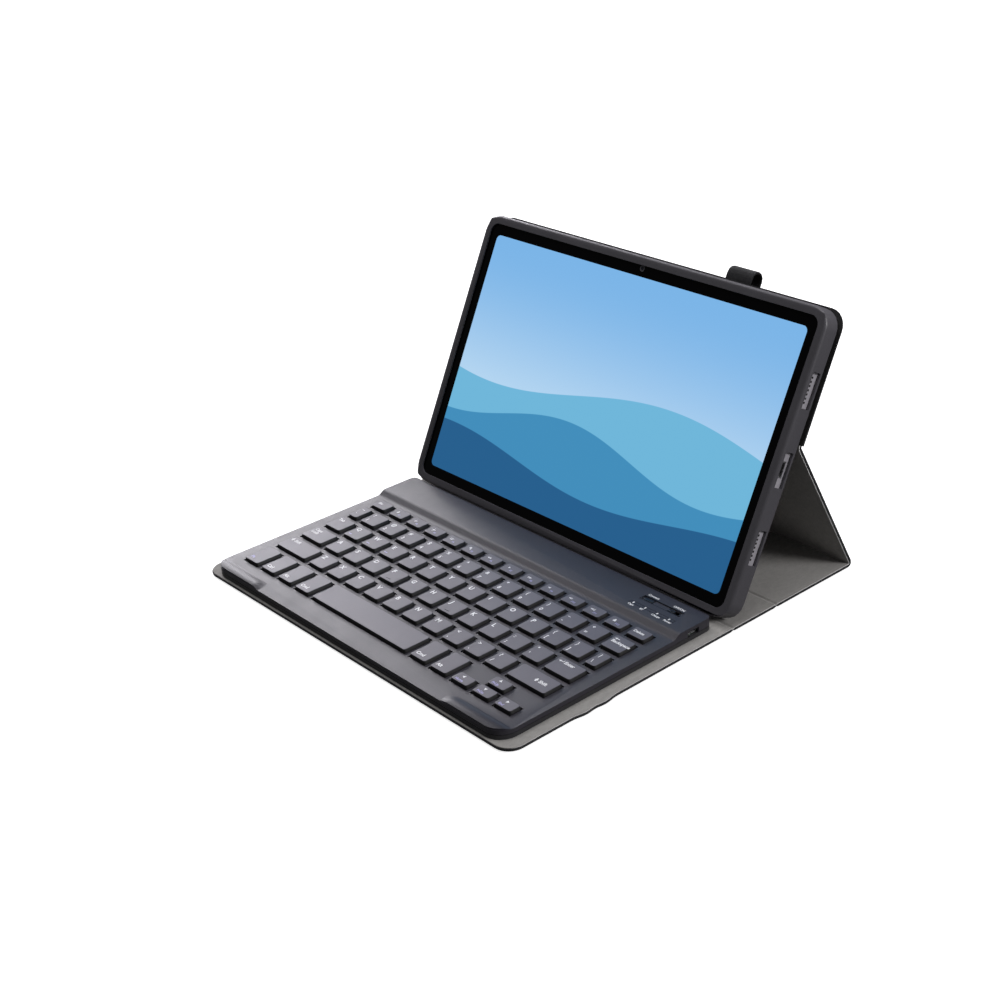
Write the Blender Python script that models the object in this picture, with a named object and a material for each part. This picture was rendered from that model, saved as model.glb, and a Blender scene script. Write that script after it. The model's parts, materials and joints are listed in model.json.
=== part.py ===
"""Folio keyboard case with an 11-inch tablet in it, open in its typing position.

Units are metres and +Z is up.  The case lies on the plane Z = 0, its keyboard
faces -Y and its width runs along X.  Lengths along Y are first worked out from
the front edge of the cover and then moved by ORIGIN_Y, which puts the origin
under the middle of the case.
"""
import math

import bmesh
import bpy
from mathutils import Matrix, Vector

MM = 0.001
GAP = 0.3 * MM                      # air between two pieces that touch

# ---- tablet -----------------------------------------------------------------
TABLET_WIDTH = 258.4 * MM
TABLET_HEIGHT = 163.0 * MM
TABLET_THICKNESS = 7.5 * MM
TABLET_CORNER = 9.0 * MM
BEZEL_SIDE = 9.4 * MM
BEZEL_END = 9.65 * MM               # above and below the display
DISPLAY_WIDTH = TABLET_WIDTH - 2 * BEZEL_SIDE
DISPLAY_HEIGHT = TABLET_HEIGHT - 2 * BEZEL_END
DISPLAY_THICKNESS = 0.8 * MM
GLASS_THICKNESS = 0.9 * MM
LEAN_ANGLE = math.radians(27.2)     # screen, back from upright

# ---- soft shell around the tablet ---------------------------------------------
SHELL_WALL = 1.3 * MM
SHELL_BACK = 1.2 * MM
LIP_THICKNESS = 1.0 * MM
LIP_OVERLAP = 3.4 * MM              # lip over the edge of the glass
PORT_WINDOW = 19.0 * MM             # length of each cut-out in the side walls
WINDOW_DEPTH = 6.2 * MM             # the same, across the tablet's thickness
SPEAKER_OFFSET = 42.0 * MM          # speaker window from the middle of the side
CHARGE_SLOT = (6.0 * MM, 9.0 * MM, 3.2 * MM)
CAMERA_HOLE = 14.0 * MM
CAMERA_FROM_SIDE = 17.0 * MM
CAMERA_FROM_TOP = 17.0 * MM
SHELL_WIDTH = TABLET_WIDTH + 2 * (GAP + SHELL_WALL)
SHELL_HEIGHT = TABLET_HEIGHT + 2 * (GAP + SHELL_WALL)

# ---- keys -----------------------------------------------------------------------
KEY_PITCH = 17.0 * MM
KEY_TOP = 12.3 * MM                 # top face of a letter key
KEY_FLARE = 0.6 * MM                # each side, from the top face to the skirt
KEY_HEIGHT = 1.8 * MM               # top face over the deck
KEY_SKIRT = 3.5 * MM                # whole height of a key
KEY_TRAVEL = 1.2 * MM
KEY_CLEARANCE = 0.35 * MM
WEB_DEPTH = 3.0 * MM
WEB_THICKNESS = 0.4 * MM
BOTTOM_ROW_TOP = 16.9 * MM
ARROW_TOP = 7.1 * MM
FUNCTION_TOP = 8.0 * MM
BOTTOM_KEY = 11.8 * MM
BOTTOM_PITCH = 16.4 * MM
GRAVE_KEY = 7.0 * MM
TAB_KEY = 13.4 * MM
CAPS_KEY = 18.7 * MM
SHIFT_KEY = 27.0 * MM
NUMBER_KEYS = 12
UPPER_KEYS = 12
HOME_KEYS = 11
LOWER_KEYS = 10
FUNCTION_KEYS = 14
KEY_ROWS = 4                        # rows of letters and numbers
KEY_GAP = KEY_PITCH - KEY_TOP
KEY_BLOCK = GRAVE_KEY + KEY_GAP + NUMBER_KEYS * KEY_PITCH + TAB_KEY

# ---- keyboard ---------------------------------------------------------------------
SIDE_MARGIN = 9.95 * MM             # side of the keyboard to the keys
FRONT_MARGIN = 15.5 * MM            # front edge of the keyboard to the first row
REAR_MARGIN = 3.9 * MM              # function row to the foot of the rear bar
BAR_DEPTH = 30.0 * MM               # rear edge to the foot of the slope
KEYBOARD_WIDTH = KEY_BLOCK + 2 * SIDE_MARGIN
KEY_AREA = BOTTOM_ROW_TOP + KEY_GAP + KEY_ROWS * KEY_PITCH + FUNCTION_TOP
KEYBOARD_LENGTH = FRONT_MARGIN + KEY_AREA + REAR_MARGIN + BAR_DEPTH
KEYBOARD_CORNER = 11.0 * MM
REAR_CORNER = 5.0 * MM
CASE_FLOOR = 0.7 * MM
CASE_WALL = 1.5 * MM
TRAY_HEIGHT = 2.4 * MM              # outside of the bottom case, up to the seam
DECK_HEIGHT = 5.1 * MM              # top of the deck over the keyboard's underside
DECK_THICKNESS = 1.0 * MM
BAR_HEIGHT = 7.6 * MM               # top of the rear bar over the underside
BAR_SLOPE = 6.0 * MM
BAR_SKIN = 1.2 * MM
RIM_LENGTH = 46.0 * MM              # raised rims at the front corners
RIM_DEPTH = 9.0 * MM
RIM_DIP = 8.0 * MM                  # length of the slope at the inner end
RIM_HEIGHT = 1.1 * MM
RIM_SUNK = 0.05 * MM                # its ends below the deck
RIM_STEPS = 6
PLATE = 0.3 * MM                    # steel plate under the keys
DOME_SHEET = 0.3 * MM

# ---- cover ----------------------------------------------------------------------
COVER_MARGIN = 1.2 * MM             # cover past the side of the shell
KEYBOARD_MARGIN = 7.5 * MM          # cover past the side of the keyboard, and behind it
KEYBOARD_INSET = 1.5 * MM           # keyboard behind the front edge of the cover
COVER_WIDTH = max(SHELL_WIDTH + 2 * COVER_MARGIN, KEYBOARD_WIDTH + 2 * KEYBOARD_MARGIN)
COVER_CORNER = 10.0 * MM
SKIN = 0.7 * MM
BOARD = 0.6 * MM
LINING = 0.5 * MM
BOARD_INSET = 3.0 * MM              # turned-over edge of the skin
FRONT_LENGTH = KEYBOARD_INSET + KEYBOARD_LENGTH + KEYBOARD_MARGIN
SPINE_LENGTH = 34.0 * MM
FLOOR_LENGTH = 63.0 * MM            # second spine fold to the fold of the stand
FLAT_FOLD_GAP = 1.4 * MM            # fold axis to the end of a board, flat folds
SHARP_FOLD_GAP = 2.6 * MM           # the same at the acute fold of the stand
FOOT_PAST_FOLD = 4.0 * MM           # foot of the shell behind the first fold
SHELL_TO_BACK_FOLD = 96.0 * MM      # foot of the shell up to the fold behind it
BACK_OVERHANG = 1.2 * MM            # cover past the top of the shell
MAGNET_WIDTH = 200.0 * MM
MAGNET_DEPTH = 12.0 * MM

# ---- pen loop -------------------------------------------------------------------
LOOP_WIDTH = 17.5 * MM
LOOP_OUTER = (9.5 * MM, 12.5 * MM)  # across and up
LOOP_WALL = 1.0 * MM
LOOP_FROM_SIDE = 73.8 * MM          # side of the shell to the middle of the loop
LOOP_X = SHELL_WIDTH / 2 - LOOP_FROM_SIDE
LOOP_RISE = 9.0 * MM                # above the shell

# ---- controls in the rear bar -----------------------------------------------------
CONTROL_X = KEYBOARD_WIDTH / 2 - 26.5 * MM      # middle of the recess
CONTROL_BACK = 11.0 * MM            # rear edge of the keyboard to the recess
CONTROL_SIZE = (29.0 * MM, 4.6 * MM)
CONTROL_RECESS = 0.5 * MM
CONNECT_SIZE = (7.0 * MM, 2.6 * MM)
SWITCH_SIZE = (4.4 * MM, 2.4 * MM)
SWITCH_TRAVEL = 3.0 * MM
BUTTON_TRAVEL = 0.5 * MM
STATUS_SIZE = (32.0 * MM, 1.6 * MM)
STATUS_BACK = 18.5 * MM
USB_SIZE = (5.5 * MM, 7.6 * MM, 2.6 * MM)
USB_BACK = 15.0 * MM
USB_WALL = 0.5 * MM
CIRCUIT_SIZE = (112.0 * MM, 18.0 * MM, 0.8 * MM)
BATTERY_DEPTH = 19.0 * MM
BATTERY_THICKNESS = 3.4 * MM
BATTERY_SPACE = 3.0 * MM            # to the circuit board and to the wall

# ---- heights and places that follow ------------------------------------------------
COVER_THICKNESS = SKIN + BOARD + LINING + 2 * GAP
AXIS_HEIGHT = COVER_THICKNESS / 2
SKIN_BOTTOM = -AXIS_HEIGHT          # measured from a fold axis
BOARD_BOTTOM = SKIN_BOTTOM + SKIN + GAP
LINING_BOTTOM = BOARD_BOTTOM + BOARD + GAP
KEYBOARD_BOTTOM = COVER_THICKNESS + GAP
DECK_TOP = KEYBOARD_BOTTOM + DECK_HEIGHT
BAR_TOP = KEYBOARD_BOTTOM + BAR_HEIGHT
KEY_TOP_HEIGHT = DECK_TOP + KEY_HEIGHT

FOLD_1 = FRONT_LENGTH
FOLD_2 = FOLD_1 + SPINE_LENGTH
FOLD_3 = FOLD_2 + FLOOR_LENGTH
ORIGIN_Y = FOLD_3 / 2

SHELL_DEPTH = SHELL_BACK + TABLET_THICKNESS + LIP_THICKNESS + 2 * GAP
SHELL_CORNER = TABLET_CORNER + GAP + SHELL_WALL
SHELL_REST = AXIS_HEIGHT + GAP      # back of the shell in front of the back fold

# The back fold lies behind the shell, which stands on the spine and leans back.
FOOT = Vector((0, FOLD_1 + FOOT_PAST_FOLD, COVER_THICKNESS + GAP))
UP = Vector((0, math.sin(LEAN_ANGLE), math.cos(LEAN_ANGLE)))
OUT = Vector((0, -math.cos(LEAN_ANGLE), math.sin(LEAN_ANGLE)))
BACK_FOLD = FOOT + UP * SHELL_TO_BACK_FOLD - OUT * SHELL_REST
FLOOR_FOLD = Vector((0, FOLD_3, AXIS_HEIGHT))
STRUT = BACK_FOLD - FLOOR_FOLD
STRUT_LENGTH = STRUT.length
STRUT_ANGLE = math.atan2(STRUT.z, STRUT.y)


# ---- scene, collections and materials ----------------------------------------------
def clear_scene():
    for obj in list(bpy.data.objects):
        bpy.data.objects.remove(obj, do_unlink=True)


def new_collection(name):
    collection = bpy.data.collections.new(name)
    bpy.context.scene.collection.children.link(collection)
    return collection


def new_material(name, colour, roughness, metallic=0.0):
    material = bpy.data.materials.new(name)
    material.use_nodes = True
    shader = material.node_tree.nodes["Principled BSDF"]
    shader.inputs["Base Color"].default_value = (*colour, 1.0)
    shader.inputs["Roughness"].default_value = roughness
    shader.inputs["Metallic"].default_value = metallic
    material.diffuse_color = (*colour, 1.0)
    return material


def new_object(name, mesh, collection, material=None):
    obj = bpy.data.objects.new(name, mesh)
    collection.objects.link(obj)
    if material:
        mesh.materials.clear()
        mesh.materials.append(material)
    return obj


def new_axis(name, parent, place, angle=0.0):
    """An empty on a joint's axis, turned about X, that carries what moves."""
    empty = bpy.data.objects.new(name, None)
    PARTS.objects.link(empty)
    empty.parent = parent
    empty.location = place
    empty.rotation_euler = (angle, 0, 0)
    return empty


def put(obj, parent, place=(0, 0, 0)):
    obj.parent = parent
    obj.location = place
    return obj


# ---- shapes ---------------------------------------------------------------------
def box_mesh(name, low, high):
    """A box between two corners."""
    size = Vector(high) - Vector(low)
    middle = (Vector(high) + Vector(low)) / 2
    bm = bmesh.new()
    bmesh.ops.create_cube(bm, size=1.0)
    bmesh.ops.scale(bm, vec=size, verts=bm.verts)
    bmesh.ops.translate(bm, vec=middle, verts=bm.verts)
    mesh = bpy.data.meshes.new(name)
    bm.to_mesh(mesh)
    bm.free()
    return mesh


def slab_mesh(name, low, high, radii, segments=6):
    """A box whose upright edges are rounded: radii for front and rear corners."""
    mesh = box_mesh(name, low, high)
    bm = bmesh.new()
    bm.from_mesh(mesh)
    middle = (low[1] + high[1]) / 2
    for radius, is_wanted in ((radii[0], lambda y: y < middle), (radii[1], lambda y: y > middle)):
        upright = [edge for edge in bm.edges
                   if abs(edge.verts[0].co.z - edge.verts[1].co.z) > 0.5 * (high[2] - low[2])
                   and is_wanted(edge.verts[0].co.y)]
        if radius > 0:
            bmesh.ops.bevel(bm, geom=upright, offset=radius, segments=segments,
                            profile=0.5, affect='EDGES')
    bm.to_mesh(mesh)
    bm.free()
    return mesh


def prism_mesh(name, profile, low_x, high_x):
    """An outline in Y and Z, drawn out along X."""
    bm = bmesh.new()
    ring = [bm.verts.new((low_x, y, z)) for y, z in profile]
    face = bm.faces.new(ring)
    drawn = bmesh.ops.extrude_face_region(bm, geom=[face])
    moved = [item for item in drawn["geom"] if isinstance(item, bmesh.types.BMVert)]
    bmesh.ops.translate(bm, vec=(high_x - low_x, 0, 0), verts=moved)
    bmesh.ops.recalc_face_normals(bm, faces=bm.faces)
    mesh = bpy.data.meshes.new(name)
    bm.to_mesh(mesh)
    bm.free()
    return mesh


def key_mesh(name, places, height, with_web=False):
    """Keys as tapered blocks, each (x, y, width, depth), joined by a web below the deck."""
    bm = bmesh.new()
    for x, y, width, depth in places:
        cube = bmesh.ops.create_cube(bm, size=1.0)["verts"]
        for vert in cube:
            flare = 0.0 if vert.co.z > 0 else 2 * KEY_FLARE
            vert.co.x = x + vert.co.x * (width + flare)
            vert.co.y = y + vert.co.y * (depth + flare)
            vert.co.z = (vert.co.z - 0.5) * height
    mesh = bpy.data.meshes.new(name)
    bm.to_mesh(mesh)
    bm.free()
    if not with_web:
        return mesh
    row_y = places[0][1]
    web = box_mesh(name + "_web", (places[0][0], row_y - WEB_DEPTH / 2, -height),
                   (places[-1][0], row_y + WEB_DEPTH / 2, WEB_THICKNESS - height))
    return combined(mesh, web, 'UNION')


def combined(mesh, other, operation):
    """The Boolean of two meshes, as a new mesh."""
    base = new_object("base", mesh, CUTTERS)
    tool = new_object("tool", other, CUTTERS)
    step = base.modifiers.new("step", 'BOOLEAN')
    step.operation = operation
    step.solver = 'EXACT'
    step.object = tool
    bpy.context.view_layer.update()
    graph = bpy.context.evaluated_depsgraph_get()
    result = bpy.data.meshes.new_from_object(base.evaluated_get(graph))
    result.name = mesh.name
    for obj in (base, tool):
        bpy.data.objects.remove(obj, do_unlink=True)
    return result


def cut(mesh, *tools):
    for tool in tools:
        mesh = combined(mesh, tool, 'DIFFERENCE')
    return mesh


def part(name, mesh, material, parent, place=(0, 0, 0)):
    obj = new_object(name, mesh, PARTS, material)
    return put(obj, parent, place)


# ---- cover ------------------------------------------------------------------------
def cover_slab(name, start, end, bottom, thickness, inset, radii=(0.0, 0.0)):
    half = COVER_WIDTH / 2 - inset
    corners = tuple(max(radius - inset, 0.0) for radius in radii)
    return slab_mesh(name, (-half, start, bottom), (half, end, bottom + thickness), corners)


def add_panel(prefix, parent, start, end, insets=(0.0, 0.0), radii=(0.0, 0.0)):
    """Skin, board and lining of one panel, from start to end along the parent's Y."""
    front, rear = insets
    layers = (("skin", SKIN_BOTTOM, SKIN, 0.0, LEATHER),
              ("board", BOARD_BOTTOM, BOARD, BOARD_INSET, PAPERBOARD),
              ("lining", LINING_BOTTOM, LINING, 0.5 * MM, FABRIC))
    made = {}
    for layer, bottom, thickness, inset, material in layers:
        name = f"{prefix}_{layer}"
        edge = inset if radii != (0.0, 0.0) else 0.0
        low = start + front + (edge if radii[0] else 0.0)
        high = end - rear - (edge if radii[1] else 0.0)
        mesh = cover_slab(name, low, high, bottom, thickness, inset, radii)
        made[layer] = part(name, mesh, material, parent)
    return made


def add_front_panel(root):
    made = add_panel("front", root, -FOLD_1, 0.0, (0.0, FLAT_FOLD_GAP), (COVER_CORNER, 0.0))
    middle = -FOLD_1 + KEYBOARD_INSET + KEYBOARD_LENGTH / 2
    low = Vector((-MAGNET_WIDTH / 2, middle - MAGNET_DEPTH / 2, BOARD_BOTTOM))
    high = Vector((MAGNET_WIDTH / 2, middle + MAGNET_DEPTH / 2, BOARD_BOTTOM + BOARD))
    part("cover_magnet_strip", box_mesh("cover_magnet_strip", low, high), MAGNET, root)
    room = Vector((GAP, GAP, SKIN))
    board = made["board"]
    board.data = cut(board.data, box_mesh("magnet_window", low - room, high + room))


def add_back_panel(axis):
    """Skin and board bonded behind the upper half of the shell."""
    length = SHELL_HEIGHT - SHELL_TO_BACK_FOLD + BACK_OVERHANG
    skin = cover_slab("back_skin", FLAT_FOLD_GAP, length, SKIN_BOTTOM, SKIN, 0.0,
                      (0.0, COVER_CORNER))
    board = cover_slab("back_board", FLAT_FOLD_GAP, length - BOARD_INSET, BOARD_BOTTOM,
                       AXIS_HEIGHT - BOARD_BOTTOM, BOARD_INSET, (0.0, COVER_CORNER))
    hole = camera_hole(2 * SHELL_DEPTH)
    part("back_skin", cut(skin, hole.copy()), LEATHER, axis)
    part("back_board", cut(board, hole), PAPERBOARD, axis)


def camera_hole(depth, margin=0.0):
    """Round cutter through the shell and the cover, in the frame of the back fold."""
    bm = bmesh.new()
    bmesh.ops.create_cone(bm, cap_ends=True, segments=20, radius1=CAMERA_HOLE / 2 - margin,
                          radius2=CAMERA_HOLE / 2 - margin, depth=depth)
    x = SHELL_WIDTH / 2 - CAMERA_FROM_SIDE
    y = SHELL_HEIGHT - SHELL_TO_BACK_FOLD - CAMERA_FROM_TOP
    bmesh.ops.translate(bm, vec=(-x, y, 0), verts=bm.verts)
    mesh = bpy.data.meshes.new("camera_hole")
    bm.to_mesh(mesh)
    bm.free()
    return mesh


# ---- shell and tablet, in the frame of the back fold ---------------------------------
def centred_slab(name, width, height, bottom, thickness, radius, segments=6):
    middle = SHELL_HEIGHT / 2 - SHELL_TO_BACK_FOLD
    return slab_mesh(name, (-width / 2, middle - height / 2, bottom),
                     (width / 2, middle + height / 2, bottom + thickness),
                     (radius, radius), segments)


def side_window(side, offset, reach):
    """Cutter for a cut-out in a side wall, from the shell's back wall to behind its lip."""
    middle = SHELL_HEIGHT / 2 - SHELL_TO_BACK_FOLD + offset
    inner = SHELL_WIDTH / 2 - SHELL_WALL - GAP - reach
    outer = SHELL_WIDTH / 2 + 2 * MM
    x = sorted((side * inner, side * outer))
    bottom = SHELL_REST + SHELL_BACK + GAP
    return box_mesh("window", (x[0], middle - PORT_WINDOW / 2, bottom),
                    (x[1], middle + PORT_WINDOW / 2, bottom + WINDOW_DEPTH))


def add_shell(axis):
    body = centred_slab("tablet_shell", SHELL_WIDTH, SHELL_HEIGHT, SHELL_REST, SHELL_DEPTH,
                        SHELL_CORNER)
    room = TABLET_THICKNESS + 2 * GAP
    cavity = centred_slab("cavity", TABLET_WIDTH + 2 * GAP, TABLET_HEIGHT + 2 * GAP,
                          SHELL_REST + SHELL_BACK, room, TABLET_CORNER + GAP)
    opening = centred_slab("opening", TABLET_WIDTH - 2 * LIP_OVERLAP,
                           TABLET_HEIGHT - 2 * LIP_OVERLAP,
                           SHELL_REST + SHELL_BACK + room / 2, room + LIP_THICKNESS,
                           TABLET_CORNER - LIP_OVERLAP)
    windows = [side_window(side, offset, 0.5 * MM)
               for side in (-1, 1) for offset in (-SPEAKER_OFFSET, SPEAKER_OFFSET)]
    windows.append(side_window(1, 0.0, 0.5 * MM))
    body = cut(body, cavity, opening, *windows, camera_hole(4 * SHELL_REST))
    part("tablet_shell", body, RUBBER, axis)


def add_tablet(axis):
    bottom = SHELL_REST + SHELL_BACK + GAP
    tray = TABLET_THICKNESS - GLASS_THICKNESS - GAP
    housing = centred_slab("tablet_housing", TABLET_WIDTH, TABLET_HEIGHT, bottom, tray,
                           TABLET_CORNER)
    pocket = centred_slab("pocket", DISPLAY_WIDTH + 2 * GAP, DISPLAY_HEIGHT + 2 * GAP,
                          bottom + tray - DISPLAY_THICKNESS - GAP, 2 * DISPLAY_THICKNESS, 0.0)
    deep, wide, high = CHARGE_SLOT
    middle = SHELL_HEIGHT / 2 - SHELL_TO_BACK_FOLD
    centre_z = bottom + TABLET_THICKNESS / 2 - MM
    slot = box_mesh("charge_slot",
                    (TABLET_WIDTH / 2 - deep, middle - wide / 2, centre_z - high / 2),
                    (TABLET_WIDTH / 2 + MM, middle + wide / 2, centre_z + high / 2))
    part("tablet_housing", cut(housing, pocket, slot), ALUMINIUM, axis)
    display = centred_slab("tablet_display", DISPLAY_WIDTH, DISPLAY_HEIGHT,
                           bottom + tray - DISPLAY_THICKNESS, DISPLAY_THICKNESS, 0.0)
    part("tablet_display", display, SCREEN, axis)
    glass = centred_slab("tablet_glass", TABLET_WIDTH - 2 * GAP, TABLET_HEIGHT - 2 * GAP,
                         bottom + tray + GAP, GLASS_THICKNESS, TABLET_CORNER - GAP)
    part("tablet_glass", glass, GLASS, axis)


def add_pen_loop(axis):
    """A flattened band behind the top edge, its bore along the width."""
    deep, tall = LOOP_OUTER
    top = SHELL_HEIGHT - SHELL_TO_BACK_FOLD + LOOP_RISE
    front = SKIN_BOTTOM - GAP
    low_x = LOOP_X - LOOP_WIDTH / 2
    high_x = LOOP_X + LOOP_WIDTH / 2

    def racetrack(inset):
        radius = deep / 2 - inset
        straight = tall - deep
        middle_z = front - deep / 2
        points = []
        for end, start in ((1, 0.0), (-1, math.pi)):
            for step in range(7):
                turn = start + math.pi * step / 6
                points.append((top - tall / 2 + end * straight / 2 + radius * math.sin(turn),
                               middle_z + radius * math.cos(turn)))
        return points

    band = prism_mesh("pen_loop", racetrack(0.0), low_x, high_x)
    bore = prism_mesh("bore", racetrack(LOOP_WALL), low_x - MM, high_x + MM)
    part("pen_loop", cut(band, bore), ELASTIC, axis)


# ---- keyboard, in a frame on the lining at the middle of its front edge --------------
def side_profile(inset, bottom):
    """Outline of the top case seen from the side, with its raised rear bar."""
    length = KEYBOARD_LENGTH - inset
    deck = DECK_HEIGHT - (DECK_THICKNESS if inset else 0.0)
    bar = BAR_HEIGHT - (BAR_SKIN if inset else 0.0)
    foot = KEYBOARD_LENGTH - BAR_DEPTH + inset
    points = [(inset, bottom), (length, bottom)]
    corner = 2.0 * MM
    for step in range(5):
        turn = math.pi / 2 * step / 4
        points.append((length - corner + corner * math.cos(turn),
                       bar - corner + corner * math.sin(turn)))
    for step in range(7):
        share = 1 - step / 6
        rise = 0.5 - 0.5 * math.cos(math.pi * share)
        points.append((foot + BAR_SLOPE * share, deck + (bar - deck) * rise))
    points.append((inset, deck))
    return points


def plan_slab(name, inset, bottom, top):
    return slab_mesh(name, (-KEYBOARD_WIDTH / 2 + inset, inset, bottom),
                     (KEYBOARD_WIDTH / 2 - inset, KEYBOARD_LENGTH - inset, top),
                     (KEYBOARD_CORNER - inset, REAR_CORNER - inset))


def keyboard_solid(name, inset, bottom):
    wide = KEYBOARD_WIDTH / 2 + MM
    prism = prism_mesh(name, side_profile(inset, bottom), -wide, wide)
    return combined(prism, plan_slab("plan", inset, bottom - MM, 2 * BAR_HEIGHT), 'INTERSECT')


def corner_rim(side):
    """A low raised rim along the front edge at one corner, sloping off inwards and behind."""
    edge = GAP
    outer = KEYBOARD_WIDTH / 2 - edge
    inner = outer - RIM_LENGTH
    low = DECK_HEIGHT - DECK_THICKNESS / 2
    across = [edge + (RIM_DEPTH - edge) * step / RIM_STEPS for step in range(RIM_STEPS + 1)]
    along = [inner + RIM_DIP * step / RIM_STEPS for step in range(RIM_STEPS + 1)] + [outer]
    bm = bmesh.new()
    rows = []
    for x in along:
        end = smooth((x - inner) / RIM_DIP)
        row = [bm.verts.new((side * x, edge, low))]
        for y in across:
            back = smooth((RIM_DEPTH - y) / (0.6 * RIM_DEPTH))
            row.append(bm.verts.new((side * x, y, DECK_HEIGHT - RIM_SUNK
                                     + (RIM_HEIGHT + RIM_SUNK) * end * back)))
        row.append(bm.verts.new((side * x, RIM_DEPTH, low)))
        rows.append(row)
    for first, second in zip(rows, rows[1:]):
        for i in range(len(first)):
            j = (i + 1) % len(first)
            bm.faces.new((first[i], first[j], second[j], second[i]))
    bm.faces.new(rows[0])
    bm.faces.new(rows[-1])
    bmesh.ops.recalc_face_normals(bm, faces=bm.faces)
    mesh = bpy.data.meshes.new("rim")
    bm.to_mesh(mesh)
    bm.free()
    plan = plan_slab("plan", edge, low - MM, 2 * BAR_HEIGHT)
    return combined(mesh, plan, 'INTERSECT')


def smooth(share):
    """0 to 1 with a level start and end."""
    share = min(max(share, 0.0), 1.0)
    return share * share * (3 - 2 * share)


def well_cutter(places):
    """One block for each key, a clearance larger than its skirt."""
    bm = bmesh.new()
    for x, y, width, depth in places:
        cube = bmesh.ops.create_cube(bm, size=1.0)["verts"]
        room = 2 * (KEY_FLARE + KEY_CLEARANCE)
        for vert in cube:
            vert.co.x = x + vert.co.x * (width + room)
            vert.co.y = y + vert.co.y * (depth + room)
            vert.co.z = DECK_HEIGHT + vert.co.z * 4 * DECK_THICKNESS
    mesh = bpy.data.meshes.new("wells")
    bm.to_mesh(mesh)
    bm.free()
    return mesh


def control_box(name, centre_x, size, bottom, top, margin=0.0, back=CONTROL_BACK):
    y = KEYBOARD_LENGTH - back
    half_x = size[0] / 2 + margin
    half_y = size[1] / 2 + margin
    return box_mesh(name, (centre_x - half_x, y - half_y, bottom),
                    (centre_x + half_x, y + half_y, top))


def connect_x():
    return CONTROL_X - CONTROL_SIZE[0] / 2 + 1.5 * MM + CONNECT_SIZE[0] / 2


def switch_x():
    """Middle of the knob in its off position, at the inner end of its slot."""
    return CONTROL_X + CONTROL_SIZE[0] / 2 - 2.0 * MM - SWITCH_TRAVEL - SWITCH_SIZE[0] / 2


def usb_low():
    x = KEYBOARD_WIDTH / 2 - CASE_WALL - GAP - USB_SIZE[0]
    y = KEYBOARD_LENGTH - USB_BACK - USB_SIZE[1] / 2
    z = circuit_top() + GAP
    return Vector((x, y, z))


def circuit_top():
    return CASE_FLOOR + 3 * GAP + CIRCUIT_SIZE[2]


def add_keyboard_case(base, rows):
    top = keyboard_solid("keyboard_top_case", 0.0, TRAY_HEIGHT + GAP)
    hollow = keyboard_solid("hollow", CASE_WALL, TRAY_HEIGHT - MM)
    for side in (-1, 1):
        top = combined(top, corner_rim(side), 'UNION')
    recess = control_box("recess", CONTROL_X, CONTROL_SIZE, BAR_HEIGHT - CONTROL_RECESS,
                         BAR_HEIGHT + MM)
    connect = control_box("connect", connect_x(), CONNECT_SIZE, DECK_HEIGHT, BAR_HEIGHT, GAP)
    slot_size = (SWITCH_SIZE[0] + SWITCH_TRAVEL, SWITCH_SIZE[1])
    slot = control_box("slot", switch_x() + SWITCH_TRAVEL / 2, slot_size, DECK_HEIGHT,
                       BAR_HEIGHT, GAP)
    status = control_box("status", CONTROL_X, STATUS_SIZE, DECK_HEIGHT, BAR_HEIGHT + MM, GAP,
                         STATUS_BACK)
    socket = usb_low()
    reach = Vector((USB_SIZE[0] + 4 * MM, USB_SIZE[1], USB_SIZE[2]))
    room = Vector((GAP, GAP, GAP))
    port = box_mesh("port", socket - room, socket + reach + room)
    top = cut(top, hollow, well_cutter([place for row in rows for place in row]),
              recess, connect, slot, status, port.copy())
    part("keyboard_top_case", top, DARK_PLASTIC, base)

    tray = plan_slab("keyboard_bottom_case", 0.0, 0.0, TRAY_HEIGHT)
    room = plan_slab("room", CASE_WALL, CASE_FLOOR, 2 * TRAY_HEIGHT)
    part("keyboard_bottom_case", cut(tray, room, port), GREY_PLASTIC, base)


def add_keyboard_insides(base):
    inset = CASE_WALL + GAP
    rear = KEYBOARD_LENGTH - BAR_DEPTH - CASE_WALL
    half = KEYBOARD_WIDTH / 2 - inset
    level = CASE_FLOOR + GAP
    corner = KEYBOARD_CORNER - inset
    plate = slab_mesh("support_plate", (-half, inset, level), (half, rear, level + PLATE),
                      (corner, 0.0))
    part("support_plate", plate, STEEL, base)
    level += PLATE + GAP
    sheet = slab_mesh("dome_sheet", (-half, inset, level), (half, rear, level + DOME_SHEET),
                      (corner, 0.0))
    part("dome_sheet", sheet, SILICONE, base)

    bar_y = KEYBOARD_LENGTH - CASE_WALL - 4 * GAP
    low_z = CASE_FLOOR + 3 * GAP
    right = KEYBOARD_WIDTH / 2 - CASE_WALL - GAP - MM
    circuit = box_mesh("circuit_board", (right - CIRCUIT_SIZE[0], bar_y - CIRCUIT_SIZE[1], low_z),
                       (right, bar_y, low_z + CIRCUIT_SIZE[2]))
    part("circuit_board", circuit, CIRCUIT, base)
    left = CASE_WALL + BATTERY_SPACE - KEYBOARD_WIDTH / 2
    battery = box_mesh("battery", (left, bar_y - BATTERY_DEPTH, level),
                       (right - CIRCUIT_SIZE[0] - BATTERY_SPACE, bar_y,
                        level + BATTERY_THICKNESS))
    part("battery", battery, FOIL, base)

    socket = usb_low()
    shell = box_mesh("charging_socket", socket, socket + Vector(USB_SIZE))
    mouth = box_mesh("mouth", socket + Vector((2, 1, 1)) * USB_WALL,
                     socket + Vector(USB_SIZE) + Vector((1, -1, -1)) * USB_WALL)
    part("charging_socket", cut(shell, mouth), STEEL, base)

    window = control_box("status_window", CONTROL_X, STATUS_SIZE, BAR_HEIGHT - BAR_SKIN,
                         BAR_HEIGHT, 0.0, STATUS_BACK)
    part("status_window", window, CLEAR_PLASTIC, base)


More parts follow.
